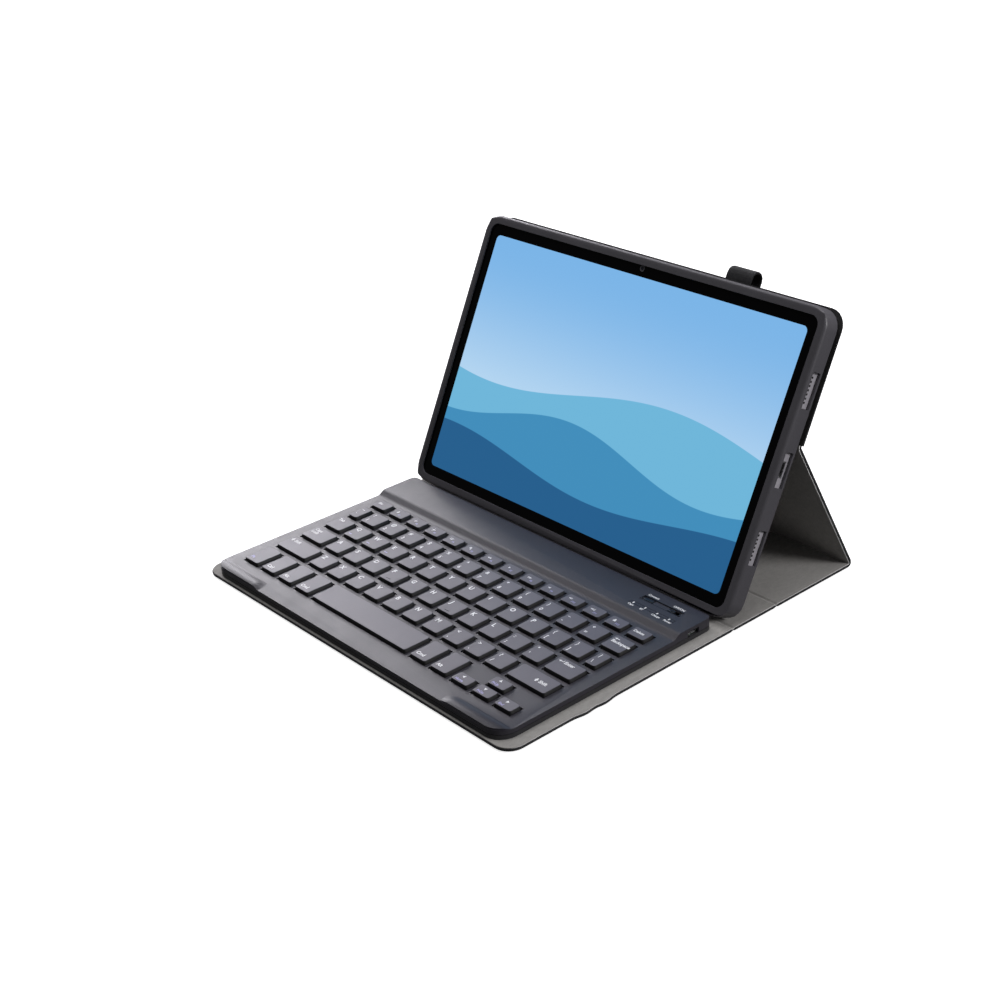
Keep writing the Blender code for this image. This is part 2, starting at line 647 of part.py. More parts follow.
def add_controls(base):
    y = KEYBOARD_LENGTH - CONTROL_BACK
    floor = BAR_HEIGHT - BAR_SKIN - MM
    flush = BAR_HEIGHT - 0.2 * MM
    axis = new_axis("connect_button_axis", base, (connect_x(), y, flush))
    half = Vector((CONNECT_SIZE[0] / 2, CONNECT_SIZE[1] / 2, 0))
    button = box_mesh("connect_button", -half + Vector((0, 0, floor - flush)), half)
    part("connect_button", button, BLACK_PLASTIC, axis)
    axis = new_axis("power_switch_axis", base, (switch_x(), y, flush))
    half = Vector((SWITCH_SIZE[0] / 2, SWITCH_SIZE[1] / 2, 0))
    knob = box_mesh("power_switch", -half + Vector((0, 0, floor - flush)), half)
    part("power_switch", knob, BLACK_PLASTIC, axis)


# ---- key layout ---------------------------------------------------------------------
def run(start, widths, gap, y, depth):
    """Keys side by side: (x, y, width, depth) with x from the middle of the block."""
    places = []
    x = start - KEY_BLOCK / 2
    for width in widths:
        places.append((x + width / 2, y + depth / 2, width, depth))
        x += width + gap
    return places


def full_row(first, count, y, depth=KEY_TOP):
    """An outer key, letter keys, and an outer key that fills the row."""
    used = first + KEY_GAP + count * KEY_PITCH
    return run(0.0, [first] + [KEY_TOP] * count + [KEY_BLOCK - used], KEY_GAP, y, depth)


def bottom_row(y):
    gap = BOTTOM_PITCH - BOTTOM_KEY
    left = run(0.0, [BOTTOM_KEY] * 4, gap, y, BOTTOM_ROW_TOP)
    start = KEY_BLOCK - 4 * BOTTOM_PITCH - BOTTOM_KEY
    right = run(start, [BOTTOM_KEY] * 2, gap, y, BOTTOM_ROW_TOP)
    low = run(start + 2 * BOTTOM_PITCH, [BOTTOM_KEY] * 3, gap, y, ARROW_TOP)
    high = run(start + 3 * BOTTOM_PITCH, [BOTTOM_KEY], gap,
               y + BOTTOM_ROW_TOP - ARROW_TOP, ARROW_TOP)
    space_start = 4 * BOTTOM_PITCH
    space = run(space_start, [start - gap - space_start], gap, y, BOTTOM_ROW_TOP)
    return left + space + right + low + high


def key_rows():
    y = FRONT_MARGIN
    rows = [bottom_row(y)]
    y += BOTTOM_ROW_TOP + KEY_GAP
    for first, count in ((SHIFT_KEY, LOWER_KEYS), (CAPS_KEY, HOME_KEYS),
                         (TAB_KEY, UPPER_KEYS), (GRAVE_KEY, NUMBER_KEYS)):
        rows.append(full_row(first, count, y))
        y += KEY_PITCH
    pitch = (KEY_BLOCK - BOTTOM_KEY) / (FUNCTION_KEYS - 1)
    rows.append(run(0.0, [BOTTOM_KEY] * FUNCTION_KEYS, pitch - BOTTOM_KEY, y, FUNCTION_TOP))
    return rows


KEY_NODES = (
    (0, "fn", 0, 1), (0, "ctrl", 1, 1), (0, "alt_left", 2, 1), (0, "command_left", 3, 1),
    (0, "space", 4, 1), (0, "command_right", 5, 1), (0, "alt_right", 6, 1),
    (0, "left", 7, 1), (0, "down", 8, 1), (0, "right", 9, 1), (0, "up", 10, 1),
    (1, "shift_left", 0, 1), (1, "lower_left", 1, 5), (1, "lower_right", 6, 5),
    (1, "shift_right", 11, 1),
    (2, "caps", 0, 1), (2, "home_left", 1, 6), (2, "home_right", 7, 5), (2, "enter", 12, 1),
    (3, "tab", 0, 1), (3, "upper_left", 1, 6), (3, "upper_right", 7, 6),
    (3, "backslash", 13, 1),
    (4, "grave", 0, 1), (4, "number_left", 1, 6), (4, "number_right", 7, 6),
    (4, "backspace", 13, 1),
    (5, "function_left", 0, 7), (5, "function_right", 7, 7),
)


def add_keys(base, rows):
    """One node for each wide key, and one for each run of small keys."""
    top = DECK_HEIGHT + KEY_HEIGHT
    for row, name, first, count in KEY_NODES:
        places = rows[row][first:first + count]
        centre_x = (places[0][0] + places[-1][0]) / 2
        centre_y = places[0][1]
        local = [(x - centre_x, y - centre_y, width, depth) for x, y, width, depth in places]
        kind = "key" if count == 1 else "keys"
        mesh = key_mesh(f"{kind}_{name}", local, KEY_SKIRT, count > 1)
        part(f"{kind}_{name}", mesh, BLACK_PLASTIC, base, (centre_x, centre_y, top))


# ---- assembly -------------------------------------------------------------------------
def build():
    rows = key_rows()
    root = new_axis("first_fold", None, (0, FOLD_1 - ORIGIN_Y, AXIS_HEIGHT))
    add_front_panel(root)

    base = new_axis("keyboard_base", root,
                    (0, KEYBOARD_INSET - FOLD_1, KEYBOARD_BOTTOM - AXIS_HEIGHT))
    add_keyboard_case(base, rows)
    add_keyboard_insides(base)
    add_controls(base)
    add_keys(base, rows)

    add_panel("spine", root, 0.0, SPINE_LENGTH, (FLAT_FOLD_GAP, FLAT_FOLD_GAP))
    second = new_axis("second_fold", root, (0, SPINE_LENGTH, 0))
    add_panel("floor", second, 0.0, FLOOR_LENGTH, (FLAT_FOLD_GAP, SHARP_FOLD_GAP))
    third = new_axis("floor_fold", second, (0, FLOOR_LENGTH, 0), STRUT_ANGLE)
    add_panel("strut", third, 0.0, STRUT_LENGTH, (SHARP_FOLD_GAP, FLAT_FOLD_GAP))
    lean = math.pi / 2 - LEAN_ANGLE - STRUT_ANGLE
    fourth = new_axis("back_fold", third, (0, STRUT_LENGTH, 0), lean)
    add_back_panel(fourth)
    add_shell(fourth)
    add_tablet(fourth)
    add_pen_loop(fourth)
    bpy.context.view_layer.update()


clear_scene()
PARTS = new_collection("tablet_keyboard_case")
CUTTERS = new_collection("cutters")
LEATHER = new_material("black grained leather", (0.030, 0.030, 0.032), 0.62)
PAPERBOARD = new_material("grey board", (0.35, 0.34, 0.33), 0.9)
FABRIC = new_material("grey microfibre", (0.30, 0.285, 0.27), 0.95)
MAGNET = new_material("magnet strip", (0.06, 0.06, 0.06), 0.7, 0.2)
RUBBER = new_material("dark shell rubber", (0.045, 0.044, 0.048), 0.5)
ALUMINIUM = new_material("anodised tablet housing", (0.42, 0.41, 0.43), 0.35, 0.9)
SCREEN = new_material("display", (0.35, 0.6, 0.8), 0.3)
GLASS = new_material("black cover glass", (0.01, 0.01, 0.012), 0.08)
ELASTIC = new_material("elastic band", (0.02, 0.02, 0.02), 0.85)
DARK_PLASTIC = new_material("charcoal plastic", (0.075, 0.075, 0.085), 0.5)
GREY_PLASTIC = new_material("tray plastic", (0.10, 0.10, 0.105), 0.5)
BLACK_PLASTIC = new_material("key plastic", (0.06, 0.06, 0.068), 0.45)
STEEL = new_material("steel", (0.55, 0.55, 0.56), 0.35, 1.0)
SILICONE = new_material("silicone", (0.6, 0.6, 0.6), 0.6)
CIRCUIT = new_material("circuit board", (0.02, 0.12, 0.05), 0.5)
FOIL = new_material("battery foil", (0.55, 0.55, 0.57), 0.4, 0.6)
CLEAR_PLASTIC = new_material("smoked window", (0.10, 0.10, 0.11), 0.2)
build()
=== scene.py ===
"""Looks of a folio keyboard case with a tablet in it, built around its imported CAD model."""

import json
import math

import bmesh
import bpy
from mathutils import Matrix, Vector


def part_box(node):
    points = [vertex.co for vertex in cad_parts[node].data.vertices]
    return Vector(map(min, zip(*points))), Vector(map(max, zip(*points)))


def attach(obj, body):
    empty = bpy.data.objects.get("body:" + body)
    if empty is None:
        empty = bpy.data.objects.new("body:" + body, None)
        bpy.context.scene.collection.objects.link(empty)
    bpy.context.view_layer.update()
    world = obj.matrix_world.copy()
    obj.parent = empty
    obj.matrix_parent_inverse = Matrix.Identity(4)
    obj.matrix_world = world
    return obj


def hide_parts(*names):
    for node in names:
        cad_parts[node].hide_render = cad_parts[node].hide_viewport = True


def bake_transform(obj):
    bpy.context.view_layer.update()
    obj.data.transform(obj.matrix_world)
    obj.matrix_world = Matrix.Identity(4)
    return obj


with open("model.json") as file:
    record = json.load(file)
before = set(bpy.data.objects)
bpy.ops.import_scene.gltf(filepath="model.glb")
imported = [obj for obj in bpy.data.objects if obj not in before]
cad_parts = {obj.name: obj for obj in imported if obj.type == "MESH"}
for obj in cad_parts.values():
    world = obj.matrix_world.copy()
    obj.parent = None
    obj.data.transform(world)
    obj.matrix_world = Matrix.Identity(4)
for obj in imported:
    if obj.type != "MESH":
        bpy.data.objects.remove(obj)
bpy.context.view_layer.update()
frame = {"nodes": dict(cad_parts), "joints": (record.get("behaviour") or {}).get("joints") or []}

bl_info = {
    "name": "Folio Keyboard Case",
    "version": (1, 0, 0),
    "blender": (4, 5, 0),
    "location": "3D View > Sidebar > Keyboard Case",
    "description": "Builds the visible pieces of a folio keyboard case around its CAD model",
    "category": "Object",
}

MM = 0.001
JOINTS = {joint["name"]: joint for joint in frame["joints"]}
FIRST_FOLD = Vector(JOINTS["first_spine_fold"]["pos_m"])
SECOND_FOLD = Vector(JOINTS["second_spine_fold"]["pos_m"])
STAND_FOLD = Vector(JOINTS["stand_fold"]["pos_m"])
BACK_FOLD = Vector(JOINTS["back_fold"]["pos_m"])
LEAN = math.radians(27.2)
AXIS_HEIGHT = 1.2 * MM              # from the outside of the cover to a fold's axis
STRUT = BACK_FOLD - STAND_FOLD
STRUT_ANGLE = math.atan2(STRUT.z, STRUT.y)
TABLET_ANGLE = math.pi / 2 - LEAN


def turned(place, angle=0.0):
    """The frame of a panel: Y runs along it and Z points to its lining."""
    return Matrix.Translation(place) @ Matrix.Rotation(angle, 4, 'X')


FRONT_FRAME = turned(FIRST_FOLD)
SPINE_FRAME = turned(FIRST_FOLD)
FLOOR_FRAME = turned(SECOND_FOLD)
STRUT_FRAME = turned(STAND_FOLD, STRUT_ANGLE)
TABLET_FRAME = turned(BACK_FOLD, TABLET_ANGLE)


def low_of(node):
    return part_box(node)[0]


def high_of(node):
    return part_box(node)[1]


def local_box(node, matrix):
    """Lowest and highest corner of a CAD node in a turned frame."""
    back = matrix.inverted()
    points = [back @ vert.co for vert in frame["nodes"][node].data.vertices]
    return (Vector([min(p[i] for p in points) for i in range(3)]),
            Vector([max(p[i] for p in points) for i in range(3)]))


# ---- sizes and colours that a user may change ---------------------------------------
def length(name, description, default):
    return bpy.props.FloatProperty(name=name, description=description, default=default,
                                   min=0.0, unit='LENGTH', precision=5)


def colour(name, description, default):
    return bpy.props.FloatVectorProperty(name=name, description=description, default=default,
                                         size=3, min=0.0, max=1.0, subtype='COLOR')


class CaseSizes(bpy.types.PropertyGroup):
    """Sizes of the visible pieces."""
    skin: length("Skin", "Thickness of the outer skin", 0.7 * MM)
    lining: length("Lining", "Thickness of the lining", 0.5 * MM)
    edge_wave: length("Edge wave", "How far the cover's side edges bulge beside the keys", 1.7 * MM)
    turned_edge: length("Turned edge", "Width of the skin turned over the boards", 2.7 * MM)
    skin_round: length("Skin round", "Rounding under the free edges of the skin", 1.35 * MM)
    groove: length("Groove", "Depth of the crease on the lining at a flat fold", 0.45 * MM)
    case_edge: length("Case edge", "Rounding of the keyboard's edges", 0.35 * MM)
    cap_corner: length("Cap corner", "Corner radius of a key cap", 1.2 * MM)
    cap_edge: length("Cap edge", "Rounding round the top of a key cap", 0.28 * MM)
    lip_edge: length("Lip edge", "Rounding round the front of the tablet shell", 1.7 * MM)
    ink: length("Ink", "Thickness of the printed marks", 0.02 * MM)
    letter: length("Letter", "Height of a capital on a key", 2.85 * MM)
    small_letter: length("Small letter", "Height of the words on wide keys", 2.15 * MM)


class CaseColours(bpy.types.PropertyGroup):
    """Colours of the finishes."""
    leather: colour("Leather", "Outer skin", (0.024, 0.024, 0.026))
    lining: colour("Lining", "Microfibre lining", (0.37, 0.360, 0.345))
    shell: colour("Shell", "Soft tablet shell", (0.088, 0.085, 0.097))
    deck: colour("Deck", "Keyboard case", (0.031, 0.029, 0.039))
    tray: colour("Tray", "Lower keyboard case", (0.022, 0.022, 0.025))
    cap: colour("Cap", "Top of the key caps", (0.103, 0.098, 0.122))
    ink: colour("Ink", "White print", (0.86, 0.86, 0.88))
    second_ink: colour("Second ink", "Lilac print", (0.42, 0.40, 0.72))
    metal: colour("Metal", "Tablet housing", (0.60, 0.58, 0.63))
    ribbon: colour("Ribbon", "Pen loop", (0.018, 0.018, 0.020))


# ---- shader recipes -------------------------------------------------------------------
class Value:
    """A shader socket that takes part in arithmetic; each operation adds its Math node."""

    def __init__(self, recipe, socket):
        self.recipe = recipe
        self.socket = socket

    def __add__(self, other):
        return self.recipe.maths('ADD', self, other)

    def __radd__(self, other):
        return self.recipe.maths('ADD', other, self)

    def __sub__(self, other):
        return self.recipe.maths('SUBTRACT', self, other)

    def __rsub__(self, other):
        return self.recipe.maths('SUBTRACT', other, self)

    def __mul__(self, other):
        return self.recipe.maths('MULTIPLY', self, other)

    def __rmul__(self, other):
        return self.recipe.maths('MULTIPLY', other, self)


class Recipe:
    """A node material under construction."""

    def __init__(self, name, **fixed):
        self.material = bpy.data.materials.new(name)
        self.material.use_nodes = True
        self.tree = self.material.node_tree
        self.shader = self.tree.nodes["Principled BSDF"]
        self.fix(**fixed)

    def fix(self, **fixed):
        """Sets values that are the same all over on the shader's own sockets."""
        for name, value in fixed.items():
            socket = self.shader.inputs[name.replace("_", " ")]
            if socket.type == 'RGBA':
                value = (*value, 1.0)
            socket.default_value = value

    def node(self, kind, settings=None, inputs=None, output=0):
        """Adds a node: its settings first, then the values or links of its sockets."""
        made = self.tree.nodes.new(kind)
        for name, value in (settings or {}).items():
            setattr(made, name, value)
        for name, value in (inputs or {}).items():
            socket = made.inputs[name]
            if isinstance(value, Value):
                self.tree.links.new(value.socket, socket)
            elif socket.type == 'RGBA' and len(value) == 3:
                socket.default_value = (*value, 1.0)
            else:
                socket.default_value = value
        return Value(self, made.outputs[output])

    def maths(self, operation, first, second=0.0):
        return self.node('ShaderNodeMath', {"operation": operation}, {0: first, 1: second})

    def place(self, scale=(1, 1, 1), turn=(0, 0, 0)):
        """Object coordinates, turned and stretched."""
        points = self.node('ShaderNodeTexCoord', output="Object")
        return self.node('ShaderNodeMapping', {"vector_type": 'POINT'},
                         {"Vector": points, "Rotation": turn, "Scale": scale})

    def noise(self, scale, detail=2.0, roughness=0.5, stretch=(1, 1, 1), turn=(0, 0, 0)):
        return self.node('ShaderNodeTexNoise', None,
                         {"Vector": self.place(stretch, turn), "Scale": scale,
                          "Detail": detail, "Roughness": roughness}, "Fac")

    def cells(self, scale, feature='F1'):
        return self.node('ShaderNodeTexVoronoi', {"feature": feature},
                         {"Vector": self.place(), "Scale": scale}, "Distance")

    def between(self, value, low, high, start=0.0, end=1.0):
        """Maps value from low..high to start..end, smoothly and clamped."""
        return self.node('ShaderNodeMapRange', {"interpolation_type": 'SMOOTHSTEP'},
                         {"Value": value, "From Min": low, "From Max": high,
                          "To Min": start, "To Max": end})

    def blend(self, share, first, second):
        return self.node('ShaderNodeMix', {"data_type": 'RGBA'},
                         {0: share, 6: first, 7: second}, 2)

    def facing(self, axis=2):
        """One component of the surface normal, in the piece's own frame."""
        normal = self.node('ShaderNodeTexCoord', output="Normal")
        return self.node('ShaderNodeSeparateXYZ', None, {0: normal}, axis)

    def sideways(self):
        """One on faces that look left or right, nothing on those that look up."""
        return self.maths('ABSOLUTE', self.facing(0))

    def height(self, axis=2):
        points = self.node('ShaderNodeTexCoord', output="Object")
        return self.node('ShaderNodeSeparateXYZ', None, {0: points}, axis)

    def feed(self, **links):
        for name, value in links.items():
            self.tree.links.new(value.socket, self.shader.inputs[name.replace("_", " ")])

    def bump(self, relief, depth, strength=1.0):
        self.feed(Normal=self.node('ShaderNodeBump', None,
                                   {"Height": relief, "Distance": depth, "Strength": strength}))


def shade(rgb, factor):
    return tuple(min(channel * factor, 1.0) for channel in rgb)


def grained_leather(name, rgb):
    """Coated leather: small rounded pebbles, a little worn along its length."""
    paint = Recipe(name, Roughness=0.55, Specular_IOR_Level=0.45)
    pebbles = paint.cells(1500.0, 'SMOOTH_F1')
    creases = paint.noise(260.0, 3.0, 0.6)
    wear = paint.noise(34.0, 4.0, 0.6)
    paint.feed(Base_Color=paint.blend(paint.between(wear, 0.35, 0.75), shade(rgb, 0.85),
                                      shade(rgb, 1.45)),
               Roughness=paint.between(pebbles + 0.5 * creases, 0.2, 1.1, 0.48, 0.70))
    paint.bump(pebbles + 0.6 * creases, 0.10 * MM, 0.65)
    return paint.material


def microfibre(name, rgb):
    """Short brushed fibres with soft lighter and darker patches, and a painted highlight on the edges
    that look sideways.
    """
    paint = Recipe(name, Roughness=0.93, Specular_IOR_Level=0.18, Sheen_Weight=0.25,
                   Sheen_Roughness=0.5)
    fibres = paint.noise(5200.0, 2.0, 0.7, (1.0, 0.35, 1.0))
    nap = paint.noise(420.0, 3.0, 0.6, (1.0, 0.5, 1.0))
    patches = paint.noise(16.0, 3.0, 0.55)
    tone = 0.45 * fibres + 0.3 * nap + 0.25 * patches
    face = paint.blend(paint.between(tone, 0.3, 0.72), shade(rgb, 0.80), shade(rgb, 1.22))
    # Edges that look left or right are painted pale grey: a painted highlight along the lining's
    # edge.
    painted_edge_highlight = paint.between(paint.sideways(), 0.75, 0.95)
    paint.feed(Base_Color=paint.blend(painted_edge_highlight, face, (0.80, 0.80, 0.80)),
               Roughness=paint.between(nap, 0.3, 0.7, 0.86, 0.97))
    paint.bump(fibres + 0.7 * nap, 0.08 * MM, 0.5)
    return paint.material


def fine_plastic(name, rgb, roughness=0.45, depth=0.03, sparkle=1.18, specular=0.5):
    """Moulded plastic with an eroded texture and faint polish marks."""
    paint = Recipe(name, Specular_IOR_Level=specular)
    grit = paint.noise(3800.0, 2.0, 0.6)
    flow = paint.noise(24.0, 3.0, 0.5, (1.0, 2.4, 1.0))
    rubbed = paint.noise(90.0, 4.0, 0.65)
    paint.feed(Base_Color=paint.blend(paint.between(grit + 0.4 * flow, 0.45, 0.95),
                                      shade(rgb, 0.90), shade(rgb, sparkle)),
               Roughness=paint.between(grit + 0.6 * rubbed, 0.4, 1.2, roughness - 0.05,
                                       roughness + 0.08))
    paint.bump(grit, depth * MM, 0.5)
    return paint.material


def cap_plastic(name, rgb):
    """Matt key caps: a fine top, and flanks in painted shade, near black and smoother."""
    paint = Recipe(name, Specular_IOR_Level=0.5)
    grit = paint.noise(4200.0, 2.0, 0.6)
    touch = paint.noise(120.0, 3.0, 0.6)
    # Faces that do not look up are painted near black: painted shade on the flanks of the caps.
    top = paint.between(paint.facing(), 0.55, 0.95)
    face = paint.blend(paint.between(grit + 0.4 * touch, 0.4, 1.0), shade(rgb, 0.92),
                       shade(rgb, 1.14))
    paint.feed(Base_Color=paint.blend(top, (0.0035, 0.0035, 0.004), face),
               Roughness=paint.between(grit + 0.5 * touch, 0.3, 1.2, 0.40, 0.52))
    paint.bump(grit, 0.02 * MM, 0.45)
    return paint.material


def soft_shell(name, rgb):
    """Satin moulded rubber, slightly dusty on the faces that look up."""
    paint = Recipe(name, Specular_IOR_Level=0.5, Coat_Weight=0.20, Coat_Roughness=0.30)
    grit = paint.noise(3000.0, 2.0, 0.6)
    haze = paint.noise(48.0, 4.0, 0.6)
    dust = paint.between(paint.facing() + 0.3 * haze, 0.4, 1.3)
    plain = paint.blend(paint.between(grit, 0.35, 0.65), shade(rgb, 0.90), shade(rgb, 1.12))
    paint.feed(Base_Color=paint.blend(dust, plain, shade(rgb, 1.6)),
               Roughness=paint.between(haze + 0.4 * grit, 0.4, 1.0, 0.36, 0.50))
    paint.bump(grit, 0.02 * MM, 0.4)
    return paint.material


def blasted_metal(name, rgb, roughness=0.32, metallic=0.35):
    """Bead-blasted metal with a faint milling direction."""
    paint = Recipe(name, Metallic=metallic)
    beads = paint.noise(5000.0, 2.0, 0.6)
    lines = paint.noise(700.0, 2.0, 0.5, (0.2, 1.0, 1.0))
    paint.feed(Base_Color=paint.blend(paint.between(beads + 0.3 * lines, 0.4, 0.9),
                                      shade(rgb, 0.9), shade(rgb, 1.12)),
               Roughness=paint.between(beads + lines, 0.6, 1.4, roughness - 0.05,
                                       roughness + 0.1))
    paint.bump(beads, 0.015 * MM, 0.4)
    return paint.material


def cover_glass(name):
    """Black-backed glass with a few faint smears."""
    paint = Recipe(name, Base_Color=(0.0015, 0.0015, 0.002), Specular_IOR_Level=0.12,
                   IOR=1.5)
    smears = paint.noise(30.0, 5.0, 0.7, (1.0, 0.3, 0.3), (0.0, 0.0, 0.5))
    specks = paint.cells(240.0)
    paint.feed(Roughness=paint.between(smears, 0.45, 0.75, 0.06, 0.17),
               Base_Color=paint.blend(paint.between(specks, 0.0, 0.08), (0.005, 0.005, 0.006),
                                      (0.0018, 0.0018, 0.0022)))
    return paint.material


SKY_TONES = ((0.62, 0.80, 0.93), (0.20, 0.46, 0.80))    # above the hills, at the top
HILLS = (                           # crest over the display's height, swing, length, start, tone
    (0.50, 9.0 * MM, 290.0 * MM, 0.4, (0.16, 0.47, 0.70)),
    (0.33, 8.0 * MM, 210.0 * MM, 2.1, (0.055, 0.27, 0.50)),
    (0.17, 6.0 * MM, 250.0 * MM, 4.4, (0.020, 0.115, 0.27)))


def lit_picture(name, low, high):
    """The lit display: three plain soft hills under a clear sky, between two heights."""
    paint = Recipe(name, Base_Color=(0.002, 0.002, 0.002), Roughness=0.12,
                   Specular_IOR_Level=0.10, Emission_Strength=1.0)
    across = paint.height(0)
    up = paint.height(2)
    view = paint.blend(paint.between(up, low, high), *SKY_TONES)
    for share, swing, wave, start, tone in HILLS:
        curve = paint.maths('SINE', across * (2 * math.pi / wave) + start)
        crest = swing * curve + (low + share * (high - low))
        view = paint.blend(paint.between(crest - up, 0.0, 0.4 * MM), view, tone)
    paint.feed(Emission_Color=view)
    return paint.material


def ribbed_ribbon(name, rgb):
    """Woven elastic with ribs across the band."""
    paint = Recipe(name, Roughness=0.88, Specular_IOR_Level=0.2, Sheen_Weight=0.15)
    ribs = paint.node('ShaderNodeTexWave', {"bands_direction": 'X'},
                      {"Vector": paint.place(), "Scale": 420.0, "Distortion": 0.6,
                       "Detail": 1.0}, "Fac")
    threads = paint.noise(3600.0, 2.0, 0.6, (1.0, 0.4, 0.4))
    paint.feed(Base_Color=paint.blend(paint.between(ribs + 0.6 * threads, 0.3, 1.3),
                                      shade(rgb, 0.7), shade(rgb, 1.7)),
               Roughness=paint.between(threads, 0.3, 0.7, 0.80, 0.95))
    paint.bump(ribs + 0.5 * threads, 0.12 * MM, 0.6)
    return paint.material


def printed_ink(name, rgb):
    """Pad-printed ink, a little uneven."""
    paint = Recipe(name, Specular_IOR_Level=0.4)
    cover = paint.noise(2600.0, 3.0, 0.6)
    paint.feed(Base_Color=paint.blend(paint.between(cover, 0.3, 0.6), shade(rgb, 0.86), rgb),
               Roughness=paint.between(cover, 0.3, 0.7, 0.42, 0.58))
    return paint.material


def pressed_board(name, rgb):
    """Compressed grey board with short fibres."""
    paint = Recipe(name, Specular_IOR_Level=0.2)
    fibres = paint.noise(1400.0, 4.0, 0.7, (1.0, 0.3, 1.0))
    flecks = paint.cells(900.0)
    paint.feed(Base_Color=paint.blend(paint.between(fibres + 0.3 * flecks, 0.4, 0.9),
                                      shade(rgb, 0.8), shade(rgb, 1.15)),
               Roughness=paint.between(fibres, 0.3, 0.7, 0.85, 0.97))
    paint.bump(fibres, 0.06 * MM, 0.5)
    return paint.material


def circuit_finish(name):
    """Green solder mask over paler traces."""
    paint = Recipe(name, Specular_IOR_Level=0.5)
    traces = paint.node('ShaderNodeTexBrick', {"offset": 0.3},
                        {"Vector": paint.place(), "Scale": 260.0, "Mortar Size": 0.03,
                         "Brick Width": 0.9, "Row Height": 0.22}, "Fac")
    speckle = paint.noise(1800.0)
    paint.feed(Base_Color=paint.blend(traces, (0.012, 0.090, 0.035), (0.05, 0.22, 0.09)),
               Roughness=paint.between(speckle + traces, 0.3, 1.4, 0.35, 0.55))
    paint.bump(traces, 0.04 * MM, 0.6)
    return paint.material


def wrinkled_foil(name):
    """Silvery pouch foil."""
    paint = Recipe(name, Metallic=0.9)
    folds = paint.noise(160.0, 4.0, 0.6)
    fine = paint.cells(700.0)
    paint.feed(Base_Color=paint.blend(folds, (0.42, 0.42, 0.44), (0.66, 0.66, 0.68)),
               Roughness=paint.between(folds + 0.3 * fine, 0.3, 0.9, 0.28, 0.5))
    paint.bump(folds + 0.2 * fine, 0.2 * MM, 0.5)
    return paint.material


FINISHES = {}


def make_finishes(colours):
    """Every finish once, by its maker's name."""
    FINISHES.update({
        "leather": grained_leather("black_leather", tuple(colours.leather)),
        "lining": microfibre("grey_microfibre", tuple(colours.lining)),
        "board": pressed_board("grey_board", (0.32, 0.31, 0.29)),
        "magnet": fine_plastic("magnet_strip", (0.035, 0.033, 0.032), 0.7),
        "shell": soft_shell("shell_rubber", tuple(colours.shell)),
        "metal": blasted_metal("anodised_housing", tuple(colours.metal)),
        "glass": cover_glass("cover_glass"),
        "picture": lit_picture("lit_display", low_of("tablet_display").z,
                               high_of("tablet_display").z),
        "ribbon": ribbed_ribbon("woven_elastic", tuple(colours.ribbon)),
        "deck": fine_plastic("deck_plastic", tuple(colours.deck), 0.43),
        "tray": fine_plastic("tray_plastic", tuple(colours.tray), 0.46),
        "cap": cap_plastic("cap_plastic", tuple(colours.cap)),
        "button": fine_plastic("button_plastic", shade(tuple(colours.deck), 0.35), 0.28),
        "ink": printed_ink("white_ink", tuple(colours.ink)),
        "second_ink": printed_ink("lilac_ink", tuple(colours.second_ink)),
        "steel": blasted_metal("bright_steel", (0.72, 0.72, 0.74), 0.22, 0.8),
        # Near-black plastic for the port tongues, and painted shade for the speaker holes.
        "dark": fine_plastic("black_plastic_and_hole_shade", (0.004, 0.004, 0.004), 0.6),
        "silicone": fine_plastic("dome_silicone", (0.50, 0.50, 0.50), 0.6),
        "circuit": circuit_finish("green_circuit"),
        "foil": wrinkled_foil("battery_foil"),
        "lens": fine_plastic("lens_glass", (0.006, 0.008, 0.016), 0.08, 0.0),
    })


# ---- modelling ----------------------------------------------------------------------
def only(obj):
    """Selects one object alone and makes it active."""
    bpy.ops.object.select_all(action='DESELECT')
    obj.select_set(True)
    bpy.context.view_layer.objects.active = obj


def settle(obj, name):
    """Applies the object's place and gives it and its mesh their name."""
    only(obj)
    bpy.ops.object.transform_apply(location=True, rotation=True, scale=True)
    obj.name = name
    obj.data.name = name
    return obj


def block(name, low, high):
    """A box between two corners."""
    bpy.ops.object.select_all(action='DESELECT')
    bpy.ops.mesh.primitive_cube_add(size=1.0, location=(Vector(low) + Vector(high)) / 2)
    obj = bpy.context.object
    obj.scale = Vector(high) - Vector(low)
    return settle(obj, name)


def drum(name, place, radius, depth, turn=(0, 0, 0), sides=32):
    """A short round bar about its own middle."""
    bpy.ops.object.select_all(action='DESELECT')
    bpy.ops.mesh.primitive_cylinder_add(vertices=sides, radius=radius, depth=depth,
                                        location=place, rotation=turn)
    return settle(bpy.context.object, name)


def sheet_of(name, outline, low, high):
    """A flat plate with the outline given in X and Y, between two heights."""
    bpy.ops.object.select_all(action='DESELECT')
    bpy.ops.mesh.primitive_circle_add(vertices=len(outline), radius=MM, fill_type='NGON')
    obj = settle(bpy.context.object, name)
    for vert, (x, y) in zip(obj.data.vertices, outline):
        vert.co = (x, y, low)
    with Edit(obj, 'FACE') as edit:
        edit.choose(lambda face: True)
        bpy.ops.mesh.extrude_region_move(TRANSFORM_OT_translate={"value": (0, 0, high - low)})
        edit.face_outwards()
    return obj


